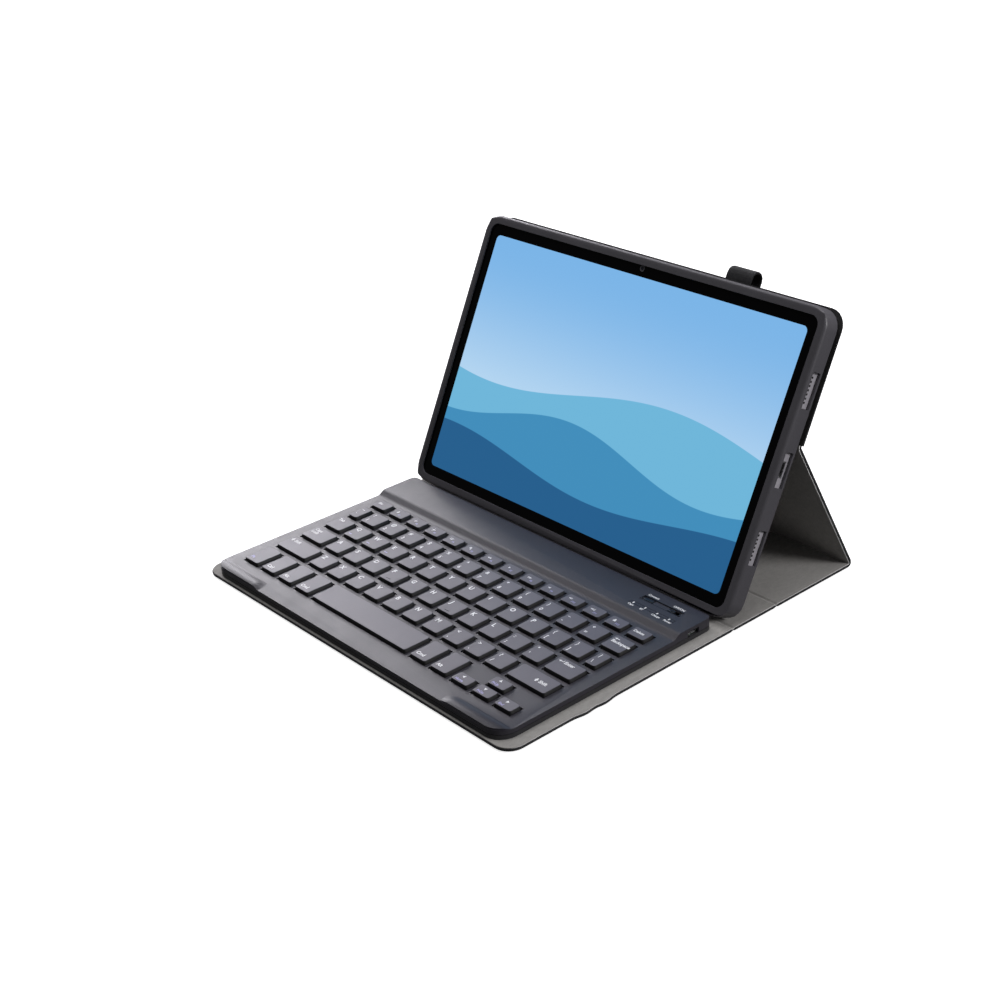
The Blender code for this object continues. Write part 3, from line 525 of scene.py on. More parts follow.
class Edit:
    """Edit mode on one object; what an operator acts on is chosen by a test in code."""

    def __init__(self, obj, kind):
        self.obj = obj
        self.kind = kind

    def __enter__(self):
        only(self.obj)
        bpy.ops.object.mode_set(mode='EDIT')
        bpy.ops.mesh.select_mode(type=self.kind)
        bpy.ops.mesh.select_all(action='DESELECT')
        return self

    def __exit__(self, *_):
        bpy.ops.object.mode_set(mode='OBJECT')

    def choose(self, test):
        """Selects what passes the test, and nothing else."""
        bpy.ops.mesh.select_all(action='DESELECT')
        shape = bmesh.from_edit_mesh(self.obj.data)
        items = {'VERT': shape.verts, 'EDGE': shape.edges, 'FACE': shape.faces}[self.kind]
        for item in items:
            if test(item):
                item.select_set(True)
        bmesh.update_edit_mesh(self.obj.data)

    def face_outwards(self):
        bpy.ops.mesh.select_all(action='SELECT')
        bpy.ops.mesh.normals_make_consistent(inside=False)
        bpy.ops.mesh.select_all(action='DESELECT')


def upright(edge):
    """True for an edge that runs along Z."""
    first, second = (vert.co for vert in edge.verts)
    return abs(first.x - second.x) + abs(first.y - second.y) < 0.01 * abs(first.z - second.z)


def at_height(height, reach=0.01 * MM):
    """Test for edges or faces whose corners all lie at one height."""
    return lambda item: all(abs(vert.co.z - height) < reach for vert in item.verts)


def rounded_block(name, low, high, corner, edge=0.0, segments=4):
    """A box with rounded upright edges, and a small round along its top."""
    obj = block(name, low, high)
    with Edit(obj, 'EDGE') as edit:
        edit.choose(upright)
        bpy.ops.mesh.bevel(offset=corner, segments=segments, affect='EDGES')
        if edge:
            edit.choose(at_height(high[2]))
            bpy.ops.mesh.bevel(offset=edge, segments=2, affect='EDGES')
    return obj


def merged_copy(node, name):
    """A copy of a CAD node's mesh with its triangles merged into whole faces."""
    obj = bpy.data.objects.new(name, frame["nodes"][node].data.copy())
    obj.data.name = name
    bpy.context.scene.collection.objects.link(obj)
    obj.data.materials.clear()
    with Edit(obj, 'VERT') as edit:
        bpy.ops.mesh.select_all(action='SELECT')
        bpy.ops.mesh.remove_doubles(threshold=0.002 * MM)
        bpy.ops.mesh.dissolve_limited(angle_limit=math.radians(0.8))
        edit.face_outwards()
    return obj


def soften(obj, width, segments=2, angle=40.0):
    """A live round on every sharp edge, with level faces kept level."""
    bevel = obj.modifiers.new("edges", 'BEVEL')
    bevel.width = width
    bevel.segments = segments
    bevel.limit_method = 'ANGLE'
    bevel.angle_limit = math.radians(angle)
    bevel.harden_normals = True
    bevel.use_clamp_overlap = True
    return obj


def smooth(obj, angle=40.0):
    only(obj)
    bpy.ops.object.shade_smooth_by_angle(angle=math.radians(angle))
    return obj


def joined(pieces, name):
    """Several objects made one."""
    bpy.ops.object.select_all(action='DESELECT')
    for piece in pieces:
        piece.select_set(True)
    bpy.context.view_layer.objects.active = pieces[0]
    if len(pieces) > 1:
        bpy.ops.object.join()
    pieces[0].name = name
    pieces[0].data.name = name
    return pieces[0]


def finish_piece(obj, finish, matrix=None):
    """Puts the piece in its panel's frame and gives it its finish."""
    if matrix is not None:
        obj.data.transform(matrix)
        obj.data.update()
    obj.data.materials.clear()
    obj.data.materials.append(FINISHES[finish])
    return obj


def place_piece(obj, finish, body, matrix=None, stands_for=None):
    """Finishes a piece and lets it ride on a body, in the place of a CAD node if one is named."""
    finish_piece(obj, finish, matrix)
    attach(obj, body)
    if stands_for:
        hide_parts(stands_for)


def softened_copy(node, name, finish, body, width, segments=2, angle=40.0, shading=40.0):
    """A CAD node's own shape with softened edges, in the node's place."""
    piece = merged_copy(node, name)
    smooth(soften(piece, width, segments, angle), shading)
    place_piece(piece, finish, body, stands_for=node)


def repaint(finish, *nodes):
    """Gives CAD nodes that stay as they are their finish."""
    for node in nodes:
        mesh = frame["nodes"][node].data
        mesh.materials.clear()
        mesh.materials.append(FINISHES[finish])


# ---- cover ----------------------------------------------------------------------------
COVER_CORNER = 10.0 * MM
BULGE_FROM_FOLD = (-117.0 * MM, -82.0 * MM)     # where the side edges bulge, from the first fold
CORNER_STEPS = 8
SIDE_STEPS = 60
LINING_INSET = 0.45 * MM            # how far the lining stops short of the skin's edge
FLAT_REACH = 1.4 * MM               # half a strip over a fold that is open or nearly so
SHARP_REACH = 2.6 * MM              # half a strip over the stand's sharp fold
LAP = 0.1 * MM                      # overlap of a strip with the panels beside it
SKIN_CREASE = (0.22 * MM, 0.12 * MM)
SKIN_EDGE = 0.18 * MM
LINING_EDGE = 0.14 * MM
HIDDEN = 0.01 * MM                  # keeps two coats from sharing one surface


def panel_outline(half_width, start, end, corners, wave=0.0):
    """Outline of a panel, anticlockwise; its sides may bulge out in two soft waves."""
    near, far = corners
    points = []

    def arc(x, y, radius, first):
        for step in range(CORNER_STEPS + 1):
            turn = first + math.pi / 2 * step / CORNER_STEPS
            points.append((x + radius * math.cos(turn), y + radius * math.sin(turn)))

    def side(sign, low, high):
        for step in range(1, SIDE_STEPS):
            y = low + (high - low) * step / SIDE_STEPS
            bulge = 0.0
            first, last = BULGE_FROM_FOLD
            if wave and first < y < last:
                share = (y - first) / (last - first)
                bulge = wave * math.sin(math.pi * share) ** 2 * (0.75 - 0.4 * math.cos(
                    4 * math.pi * share))
            points.append((sign * (half_width + bulge), y))

    if near:
        arc(-half_width + near, start + near, near, math.pi)
        arc(half_width - near, start + near, near, 1.5 * math.pi)
    else:
        points += [(-half_width, start), (half_width, start)]
    side(1, start + near, end - far)
    if far:
        arc(half_width - far, end - far, far, 0.0)
        arc(-half_width + far, end - far, far, 0.5 * math.pi)
    else:
        points += [(half_width, end), (-half_width, end)]
    side(-1, end - far, start + near)
    return points


def skin_panel(name, sizes, half_width, start, end, corners, top, wave=0.0):
    """Outer skin with its edge turned over: a shallow tray that holds the board."""
    outline = panel_outline(half_width, start, end, corners, wave)
    obj = sheet_of(name, outline, -AXIS_HEIGHT, top)
    folds = [end] if corners[0] else [start, end]

    def is_free(edge):
        places = [vert.co.y for vert in edge.verts]
        return at_height(-AXIS_HEIGHT)(edge) and not any(
            all(abs(y - fold) < 0.01 * MM for y in places) for fold in folds)

    with Edit(obj, 'EDGE') as edit:
        edit.choose(is_free)
        bpy.ops.mesh.bevel(offset=sizes.skin_round, segments=3, affect='EDGES')
    with Edit(obj, 'FACE') as edit:
        edit.choose(at_height(top))
        bpy.ops.mesh.inset(thickness=sizes.turned_edge, depth=0.0)
        sink = sizes.skin - AXIS_HEIGHT - top
        bpy.ops.mesh.extrude_region_move(TRANSFORM_OT_translate={"value": (0, 0, sink)})
    return smooth(soften(obj, SKIN_EDGE, 2, 50.0))


def fold_strip(name, first, second, reach, heights, dips, half_width, tuck=0.0, groups=11):
    """A strip of skin or lining that runs smoothly round a fold from one panel to the next.

    Its two ends may tuck up, as the rounded edges of the panels beside it do.
    """
    turn = abs(first.to_euler().x - second.to_euler().x)
    if turn > 0.01:
        handle = 4 / 3 * math.tan(turn / 4) / (2 * math.sin(turn / 2))
    else:
        handle = 1 / 3
    before = first.to_3x3()
    after = second.to_3x3()
    place = second.translation
    rows = []
    for height, dip in zip(heights, dips):
        start = place + before @ Vector((0, -reach, height))
        end = place + after @ Vector((0, reach, height))
        arm = handle * (end - start).length
        inner = start + before @ Vector((0, arm, 0))
        outer = end - after @ Vector((0, arm, 0))
        row = []
        for step in range(groups):
            t = step / (groups - 1)
            point = ((1 - t) ** 3 * start + 3 * (1 - t) ** 2 * t * inner
                     + 3 * (1 - t) * t ** 2 * outer + t ** 3 * end)
            up = (before @ Vector((0, 0, 1))).lerp(after @ Vector((0, 0, 1)), t).normalized()
            row.append((point + up * dip * math.sin(math.pi * t) ** 2, up))
        rows.append(row)
    ring = rows[0] + rows[1][::-1]
    stations = [(-half_width, 0.0), (half_width, 0.0)]
    if tuck:
        stations = [(-half_width, tuck), (tuck - half_width, 0.0), (half_width - tuck, 0.0),
                    (half_width, tuck)]
    shape = bmesh.new()
    ends = []
    for x, lift in stations:
        lifted = [point + 0.75 * lift * up for point, up in ring]
        ends.append([shape.verts.new((x, point.y, point.z)) for point in lifted])
    for left, right in zip(ends, ends[1:]):
        for i in range(len(ring)):
            j = (i + 1) % len(ring)
            shape.faces.new((left[i], left[j], right[j], right[i]))
    for i in range(groups - 1):
        j = len(ring) - 1 - i
        for side in (ends[0], ends[-1]):
            shape.faces.new((side[i], side[i + 1], side[j - 1], side[j]))
    bmesh.ops.recalc_face_normals(shape, faces=shape.faces)
    mesh = bpy.data.meshes.new(name)
    shape.to_mesh(mesh)
    shape.free()
    obj = bpy.data.objects.new(name, mesh)
    bpy.context.scene.collection.objects.link(obj)
    return smooth(obj, 50.0)


class CASE_OT_cover(bpy.types.Operator):
    """Skins, linings and folds of the folio cover"""
    bl_idname = "keyboard_case.cover"
    bl_label = "Cover"

    def execute(self, context):
        sizes = context.scene.case_sizes
        half = high_of("front_skin").x
        top = AXIS_HEIGHT - sizes.lining - 0.05 * MM
        panels = (
            ("front", "front_cover", FRONT_FRAME, (COVER_CORNER, 0.0), sizes.edge_wave),
            ("spine", "spine", SPINE_FRAME, (0.0, 0.0), 0.0),
            ("floor", "floor_panel", FLOOR_FRAME, (0.0, 0.0), 0.0),
            ("strut", "stand", STRUT_FRAME, (0.0, 0.0), 0.0))
        linings = {}
        skins = {}
        for panel, body, matrix, corners, wave in panels:
            low, high = local_box(f"{panel}_skin", matrix)
            skin = skin_panel(f"cover_{panel}_skin", sizes, half, low.y, high.y, corners, top,
                              wave)
            place_piece(skin, "leather", body, matrix, stands_for=f"{panel}_skin")
            front = LINING_INSET if corners[0] else 0.0
            outline = panel_outline(half - LINING_INSET, low.y + front, high.y,
                                    (max(corners[0] - LINING_INSET, 0.0), 0.0), wave)
            lining = sheet_of(f"cover_{panel}_lining", outline, AXIS_HEIGHT - sizes.lining,
                              AXIS_HEIGHT)
            smooth(soften(lining, LINING_EDGE, 2, 50.0))
            place_piece(lining, "lining", body, matrix,
                        stands_for=f"{panel}_lining")
            flat = (2 * half, high.y - low.y)
            skins[panel] = (skin, flat, f"{panel}_board")
            linings[panel] = (lining, flat, f"{panel}_board")
        self.add_folds(sizes, half, skins, linings)
        return {'FINISHED'}

    def add_folds(self, sizes, half, skins, linings):
        """Strips across the four folds, each shaped round its fold."""
        back = STRUT_FRAME @ Matrix.Translation((0, STRUT.length, 0))
        folds = (
            ("first", FRONT_FRAME, SPINE_FRAME, FLAT_REACH, "front_cover", "spine", "front"),
            ("second", turned(SECOND_FOLD), FLOOR_FRAME, FLAT_REACH, "spine", "floor_panel",
             "spine"),
            ("stand", turned(STAND_FOLD), STRUT_FRAME, SHARP_REACH, "floor_panel", "stand",
             "floor"),
            ("back", back, TABLET_FRAME, FLAT_REACH, "stand", "tablet_side", "strut"))
        self.belongs = {}
        for fold, first, second, reach, body, next_body, panel in folds:
            is_flat = fold in ("first", "second")
            reach += LAP
            skin = fold_strip(f"fold_{fold}_skin", first, second, reach,
                              (HIDDEN - AXIS_HEIGHT, sizes.skin - AXIS_HEIGHT),
                              SKIN_CREASE if is_flat else (0.0, 0.0),
                              half - 0.05 * MM, sizes.skin_round)
            finish_piece(skin, "leather")
            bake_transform(skin)
            self.belongs[skins[panel][0].name] = [skin.name]
            sink = -sizes.groove if is_flat else 0.0
            lining = fold_strip(f"fold_{fold}_lining", first, second, reach,
                                (AXIS_HEIGHT - sizes.lining, AXIS_HEIGHT - HIDDEN),
                                (sink, sink), half - 0.5 * MM)
            finish_piece(lining, "lining")
            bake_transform(lining)
            self.belongs[linings[panel][0].name] = [lining.name]


TRIM_RADIUS = 8.6 * MM
TRIM_WIDTH = 1.5 * MM


class CASE_OT_back_cover(bpy.types.Operator):
    """Skin behind the tablet, with the trim of its camera hole"""
    bl_idname = "keyboard_case.back_cover"
    bl_label = "Back cover"

    def execute(self, context):
        skin = merged_copy("back_skin", "cover_back_skin")
        skin.data.transform(TABLET_FRAME.inverted())
        with Edit(skin, 'EDGE') as edit:
            edit.choose(at_height(-AXIS_HEIGHT))
            bpy.ops.mesh.bevel(offset=0.3 * MM, segments=2, affect='EDGES')
        smooth(skin)
        place_piece(skin, "leather", "tablet_side", TABLET_FRAME,
                    stands_for="back_skin")
        low, high = local_box("back_skin", TABLET_FRAME)
        hole = camera_centre()
        trim = drum("camera_trim", (hole.x, hole.y, -AXIS_HEIGHT), TRIM_RADIUS, 0.5 * MM,
                    sides=48)
        with Edit(trim, 'FACE') as edit:
            edit.choose(lambda face: abs(face.normal.z) > 0.9)
            bpy.ops.mesh.inset(thickness=TRIM_WIDTH)
            bpy.ops.mesh.bridge_edge_loops()
        smooth(soften(trim, 0.15 * MM, 2))
        place_piece(trim, "shell", "tablet_side", TABLET_FRAME)
        return {'FINISHED'}


# ---- tablet and its shell ---------------------------------------------------------------
TABLET_THICKNESS = 7.5 * MM
CAMERA_FROM_SIDE = 17.0 * MM
CAMERA_FROM_TOP = 17.0 * MM
SPEAKER_OFFSET = 42.0 * MM
SPEAKER_HOLES = 7
HOLE_PITCH = 2.2 * MM
HOLE_RADIUS = 0.62 * MM
LENS_ABOVE_DISPLAY = 4.6 * MM
SEAM_FROM_TOP = 8.6 * MM
STITCHES = 9
LIP_REACH = 3.0 * MM                # edges this near the shell's sides are its outer ones


def camera_centre():
    """Middle of the camera hole, in the tablet's frame."""
    low, high = local_box("tablet_shell", TABLET_FRAME)
    return Vector((low.x + CAMERA_FROM_SIDE, high.y - CAMERA_FROM_TOP, 0))


class CASE_OT_shell(bpy.types.Operator):
    """Soft shell with its rounded lip and port windows"""
    bl_idname = "keyboard_case.shell"
    bl_label = "Tablet shell"

    def execute(self, context):
        sizes = context.scene.case_sizes
        shell = merged_copy("tablet_shell", "shell_body")
        shell.data.transform(TABLET_FRAME.inverted())
        low, high = local_box("tablet_shell", TABLET_FRAME)

        def is_outer(edge):
            return at_height(high.z)(edge) and all(
                vert.co.x < low.x + LIP_REACH or vert.co.x > high.x - LIP_REACH
                or vert.co.y < low.y + LIP_REACH or vert.co.y > high.y - LIP_REACH
                for vert in edge.verts)

        with Edit(shell, 'EDGE') as edit:
            edit.choose(is_outer)
            bpy.ops.mesh.bevel(offset=sizes.lip_edge, segments=5, affect='EDGES')
        smooth(soften(shell, 0.28 * MM, 2, 38.0))
        place_piece(shell, "shell", "tablet_side", TABLET_FRAME,
                    stands_for="tablet_shell")
        return {'FINISHED'}


class CASE_OT_pen_loop(bpy.types.Operator):
    """Elastic loop for a pen, with its stitched seam"""
    bl_idname = "keyboard_case.pen_loop"
    bl_label = "Pen loop"

    def execute(self, context):
        softened_copy("pen_loop", "loop_band", "ribbon", "tablet_side",
                      0.25 * MM, 2, 50.0, 50.0)
        low, high = local_box("pen_loop", TABLET_FRAME)
        y = high.y - SEAM_FROM_TOP
        stitches = []
        for step in range(STITCHES):
            x = low.x + (high.x - low.x) * (step + 0.5) / STITCHES
            stitches.append(rounded_block(
                "stitch", (x - 0.65 * MM, y - 0.15 * MM, high.z - 0.05 * MM),
                (x + 0.65 * MM, y + 0.15 * MM, high.z + 0.12 * MM), 0.14 * MM, 0.08 * MM, 2))
        seam = joined(stitches, "loop_stitches")
        smooth(seam)
        place_piece(seam, "ribbon", "tablet_side", TABLET_FRAME)
        return {'FINISHED'}


def port_tube(name, low, high):
    """Drawn metal mouth of a charging port, open towards +X."""
    tube = block(name, low, high)

    def is_long(edge):
        first, second = (vert.co for vert in edge.verts)
        return abs(first.x - second.x) > MM

    with Edit(tube, 'EDGE') as edit:
        edit.choose(is_long)
        bpy.ops.mesh.bevel(offset=0.46 * (high[2] - low[2]), segments=5, affect='EDGES')
    with Edit(tube, 'FACE') as edit:
        edit.choose(lambda face: face.normal.x > 0.9)
        bpy.ops.mesh.inset(thickness=0.3 * MM)
        bpy.ops.mesh.extrude_region_move(
            TRANSFORM_OT_translate={"value": (low[0] - high[0] + 0.6 * MM, 0, 0)})
    return smooth(tube)


def display_box():
    low, high = local_box("tablet_display", TABLET_FRAME)
    glass = local_box("tablet_glass", TABLET_FRAME)[1].z
    return low, high, glass


class CASE_OT_tablet(bpy.types.Operator):
    """Glass, housing, cameras and charging port of the tablet, with painted shade for its speaker
    holes
    """
    bl_idname = "keyboard_case.tablet"
    bl_label = "Tablet"

    def execute(self, context):
        softened_copy("tablet_housing", "housing_body", "metal",
                      "tablet_side", 0.4 * MM, 3)
        softened_copy("tablet_glass", "front_glass", "glass", "tablet_side",
                      0.25 * MM, 3)
        repaint("glass", "tablet_display")
        self.add_speakers()
        self.add_port()
        self.add_front_camera()
        self.add_rear_camera()
        return {'FINISHED'}

    def add_speakers(self):
        # Speaker holes as thin near-black discs on the housing's sides: painted shade in place of the
        # holes' dark insides.
        low, high = local_box("tablet_housing", TABLET_FRAME)
        middle = (low + high) / 2
        holes = []
        for side in (-1, 1):
            for offset in (-SPEAKER_OFFSET, SPEAKER_OFFSET):
                for step in range(SPEAKER_HOLES):
                    y = middle.y + offset + (step - (SPEAKER_HOLES - 1) / 2) * HOLE_PITCH
                    place = (side * (high.x + 0.01 * MM), y, middle.z + 0.3 * MM)
                    holes.append(drum("hole", place, HOLE_RADIUS, 0.06 * MM, (0, math.pi / 2, 0), 16))
        grille = joined(holes, "speaker_hole_shade")
        smooth(grille)
        place_piece(grille, "dark", "tablet_side", TABLET_FRAME)

    def add_port(self):
        low, high = local_box("tablet_housing", TABLET_FRAME)
        middle = (low + high) / 2
        z = low.z + TABLET_THICKNESS / 2 - MM
        half = Vector((0.0, 4.35 * MM, 1.45 * MM))
        tube = port_tube("port_tube", (high.x - 5.4 * MM, middle.y - half.y, z - half.z),
                         (high.x - 0.15 * MM, middle.y + half.y, z + half.z))
        place_piece(tube, "steel", "tablet_side", TABLET_FRAME)
        tongue = rounded_block("port_tongue",
                               (high.x - 5.0 * MM, middle.y - 3.1 * MM, z - 0.35 * MM),
                               (high.x - 1.1 * MM, middle.y + 3.1 * MM, z + 0.35 * MM),
                               0.3 * MM, 0.1 * MM)
        smooth(tongue)
        place_piece(tongue, "dark", "tablet_side", TABLET_FRAME)

    def add_front_camera(self):
        _, high, glass = display_box()
        place = Vector((0, high.y + LENS_ABOVE_DISPLAY, glass))
        ring = drum("front_camera_ring", place, 1.75 * MM, 0.08 * MM, sides=32)
        with Edit(ring, 'FACE') as edit:
            edit.choose(lambda face: face.normal.z > 0.9)
            bpy.ops.mesh.inset(thickness=0.45 * MM, depth=-0.03 * MM)
        smooth(ring)
        place_piece(ring, "shell", "tablet_side", TABLET_FRAME)
        lens = drum("front_camera_lens", place, 0.95 * MM, 0.14 * MM, sides=24)
        with Edit(lens, 'FACE') as edit:
            edit.choose(lambda face: face.normal.z > 0.9)
            bpy.ops.mesh.inset(thickness=0.3 * MM, depth=0.04 * MM)
        smooth(lens)
        place_piece(lens, "lens", "tablet_side", TABLET_FRAME)

    def add_rear_camera(self):
        back = local_box("tablet_housing", TABLET_FRAME)[0].z
        hole = camera_centre()
        barrel = drum("rear_camera_barrel", (hole.x, hole.y, back - 0.8 * MM), 5.2 * MM,
                      1.8 * MM, sides=40)
        with Edit(barrel, 'FACE') as edit:
            edit.choose(lambda face: face.normal.z < -0.9)
            bpy.ops.mesh.inset(thickness=0.7 * MM, depth=0.0)
            bpy.ops.mesh.inset(thickness=0.1 * MM, depth=-0.4 * MM)
        smooth(soften(barrel, 0.12 * MM, 2))
        place_piece(barrel, "metal", "tablet_side", TABLET_FRAME)
        lens = drum("rear_camera_lens", (hole.x, hole.y, back - 1.3 * MM), 2.4 * MM, 0.5 * MM,
                    sides=32)
        with Edit(lens, 'FACE') as edit:
            edit.choose(lambda face: face.normal.z < -0.9)
            bpy.ops.mesh.inset(thickness=0.9 * MM, depth=0.12 * MM)
        smooth(lens)
        place_piece(lens, "lens", "tablet_side", TABLET_FRAME)


# ---- picture on the display ----------------------------------------------------------
PICTURE_CORNER = 3.0 * MM
PICTURE_DEPTH = (0.02 * MM, 0.05 * MM)  # above the glass


class CASE_OT_picture(bpy.types.Operator):
    """Plain picture of soft hills that lights the display"""
    bl_idname = "keyboard_case.picture"
    bl_label = "Display picture"

    def execute(self, context):
        low, high, glass = display_box()
        middle = (low + high) / 2
        size = high - low
        outline = [(middle.x + x, middle.y + y) for x, y in panel_outline(
            size.x / 2, -size.y / 2, size.y / 2, (PICTURE_CORNER, PICTURE_CORNER))]
        picture = sheet_of("display_picture", outline, *(glass + depth for depth in PICTURE_DEPTH))
        place_piece(picture, "picture", "tablet_side", TABLET_FRAME)
        return {'FINISHED'}


# ---- keyboard case and its marks --------------------------------------------------------
class CASE_OT_keyboard_case(bpy.types.Operator):
    """Upper and lower keyboard case with softened edges"""
    bl_idname = "keyboard_case.keyboard_case"
    bl_label = "Keyboard case"

    def execute(self, context):
        edge = context.scene.case_sizes.case_edge
        for node, name, finish, slot in (
                ("keyboard_top_case", "case_top", "deck", "case_plastic"),
                ("keyboard_bottom_case", "case_tray", "tray", "tray_plastic")):
            softened_copy(node, name, finish, "keyboard", edge, 2, 42.0, 30.0)
        return {'FINISHED'}


class CASE_OT_inner_parts(bpy.types.Operator):
    """Finishes of the CAD parts that stay as they are"""
    bl_idname = "keyboard_case.inner_parts"
    bl_label = "Inner parts"

    def execute(self, context):
        repaint("board", "front_board", "spine_board", "floor_board", "strut_board",
                "back_board")
        repaint("magnet", "cover_magnet_strip")
        repaint("steel", "support_plate")
        repaint("silicone", "dome_sheet")
        repaint("circuit", "circuit_board")
        repaint("foil", "battery")
        repaint("deck", "status_window")
        return {'FINISHED'}


# ---- keys ---------------------------------------------------------------------------
CAP_FLARE = 0.6 * MM
LETTER_PITCH = 17.0 * MM
FUNCTION_CAP = 13.0 * MM            # skirt of a function key
KEY_COUNTS = {"keys_number_left": 6, "keys_number_right": 6, "keys_upper_left": 6,
              "keys_upper_right": 6, "keys_home_left": 6, "keys_home_right": 5,
              "keys_lower_left": 5, "keys_lower_right": 5, "keys_function_left": 7,
              "keys_function_right": 7}
KEY_NODES = sorted(node for node in frame["nodes"] if node.startswith(("key_", "keys_")))


def cap_places(node):
    """Skirt box of every cap of a key node: (low corner, high corner)."""
    low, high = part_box(node)
    count = KEY_COUNTS.get(node, 1)
    if count == 1:
        return [(low, high)]
    if "function" in node:
        width = FUNCTION_CAP
        pitch = (high.x - low.x - width) / (count - 1)
    else:
        pitch = LETTER_PITCH
        width = high.x - low.x - (count - 1) * pitch
    return [(Vector((low.x + i * pitch, low.y, low.z)),
             Vector((low.x + i * pitch + width, high.y, high.z))) for i in range(count)]


def cap_model(sizes, width, depth, height):
    """One key cap about its own middle, its top at zero: flared, with round corners."""
    corner = min(sizes.cap_corner, 0.2 * min(width, depth))
    cap = block("cap", (-width / 2, -depth / 2, -height), (width / 2, depth / 2, 0))
    with Edit(cap, 'FACE') as edit:
        edit.choose(at_height(0.0))
        bpy.ops.transform.resize(value=(1 - 2 * CAP_FLARE / width, 1 - 2 * CAP_FLARE / depth, 1),
                                 center_override=(0, 0, 0))
    with Edit(cap, 'EDGE') as edit:
        edit.choose(lambda e: abs(e.verts[0].co.z - e.verts[1].co.z) > 0.5 * height)
        bpy.ops.mesh.bevel(offset=corner, segments=4, affect='EDGES')
        edit.choose(at_height(0.0))
        bpy.ops.mesh.bevel(offset=sizes.cap_edge, segments=3, affect='EDGES')
    with Edit(cap, 'FACE') as edit:
        edit.choose(at_height(0.0))
        bpy.ops.mesh.inset(thickness=0.15 * MM, depth=0.0)
    return cap


class CASE_OT_keys(bpy.types.Operator):
    """A key cap on every key"""
    bl_idname = "keyboard_case.keys"
    bl_label = "Key caps"

    def execute(self, context):
        sizes = context.scene.case_sizes
        models = {}
        for node in KEY_NODES:
            caps = []
            places = cap_places(node)
            for low, high in places:
                size = high - low
                kind = tuple(round(side / MM, 2) for side in size)
                if kind not in models:
                    models[kind] = cap_model(sizes, size.x, size.y, size.z)
                cap = models[kind].copy()
                cap.data = models[kind].data.copy()
                context.scene.collection.objects.link(cap)
                cap.data.transform(Matrix.Translation(
                    ((low.x + high.x) / 2, (low.y + high.y) / 2, high.z)))
                caps.append(cap)
            if len(places) > 1:
                first, last = places[0], places[-1]
                y = (first[0].y + first[1].y) / 2
                caps.append(rounded_block(
                    "web", (first[0].x + 2 * MM, y - 1.5 * MM, first[0].z),
                    (last[1].x - 2 * MM, y + 1.5 * MM, first[0].z + 0.4 * MM), 0.5 * MM))
            if node in ("keys_home_left", "keys_home_right"):
                low, high = places[3] if node == "keys_home_left" else places[0]
                middle = (low + high) / 2
                caps.append(rounded_block(
                    "bump", (middle.x - 1.7 * MM, low.y + 2.4 * MM, high.z - 0.1 * MM),
                    (middle.x + 1.7 * MM, low.y + 3.0 * MM, high.z + 0.22 * MM), 0.28 * MM,
                    0.12 * MM))
            cap = joined(caps, node.replace("key", "cap", 1))
            smooth(cap, 35.0)
            place_piece(cap, "cap", node, stands_for=node)
        for model in models.values():
            bpy.data.objects.remove(model)
        return {'FINISHED'}


# ---- legends ------------------------------------------------------------------------
GLYPHS = {
    "keys_number_left": ("1!", "2@", "3#", "4$", "5%", "6^"),
    "keys_number_right": ("7&", "8*", "9(", "0)", "-_", "=+"),
    "keys_upper_left": ("Q", "W", "E", "R", "T", "Y"),
    "keys_upper_right": ("U", "I", "O", "P", "[{", "]}"),
    "keys_home_left": ("A", "S", "D", "F", "G", "H"),
    "keys_home_right": ("J", "K", "L", ";:", "'\""),
    "keys_lower_left": ("Z", "X", "C", "V", "B"),
    "keys_lower_right": ("N", "M", ",<", ".>", "/?"),
    "key_grave": ("`~",),
    "key_backslash": ("\\|",),
}
WORDS = {
    "key_tab": ("Tab",), "key_caps": ("Caps", "Lock"), "key_shift_left": ("Shift",),
    "key_shift_right": ("Shift",), "key_enter": ("Enter",), "key_backspace": ("Backspace",),
    "key_ctrl": ("Ctrl",), "key_alt_left": ("Alt",), "key_alt_right": ("Alt",),
    "key_command_left": ("Cmd",), "key_command_right": ("Cmd",), "key_fn": ("Fn",),
}
ARROWS = {"key_left": 90.0, "key_down": 180.0, "key_right": -90.0, "key_up": 0.0}
ARROW_WORDS = {"key_left": "Home", "key_down": "PgDn", "key_right": "End", "key_up": "PgUp"}
SECOND_MARKS = {"keys_upper_left": (0, 1, 2)}
CAPITAL_SHARE = 0.69                # a capital's height over the text size
PRINT_LIFT = 0.012 * MM             # middle of the print above its surface


def lettering(text, height, place, bold=0.045, align='LEFT'):
    """Raised print: text of that capital height, its left foot at the place."""
    bpy.ops.object.select_all(action='DESELECT')
    bpy.ops.object.text_add(location=(0, 0, 0))
    obj = bpy.context.object
    size = height / CAPITAL_SHARE
    obj.data.body = text
    obj.data.size = size
    obj.data.align_x = align
    obj.data.resolution_u = 3
    obj.data.offset = bold * height
    obj.data.extrude = bpy.context.scene.case_sizes.ink / 2
    bpy.ops.object.convert(target='MESH')
    obj = bpy.context.object
    obj.location = place
    return settle(obj, "print")


def mark(points, place):
    """A flat printed shape with the outline given about its middle."""
    ink = bpy.context.scene.case_sizes.ink
    outline = [(x + place[0], y + place[1]) for x, y in points]
    return sheet_of("mark", outline, place[2] - ink / 2, place[2] + ink / 2)


def regular(sides, radius, turn=0.0, squeeze=1.0):
    return [(radius * math.cos(turn + 2 * math.pi * i / sides),
             squeeze * radius * math.sin(turn + 2 * math.pi * i / sides))
            for i in range(sides)]


def bar(width, height):
    return [(-width / 2, -height / 2), (width / 2, -height / 2), (width / 2, height / 2),
            (-width / 2, height / 2)]


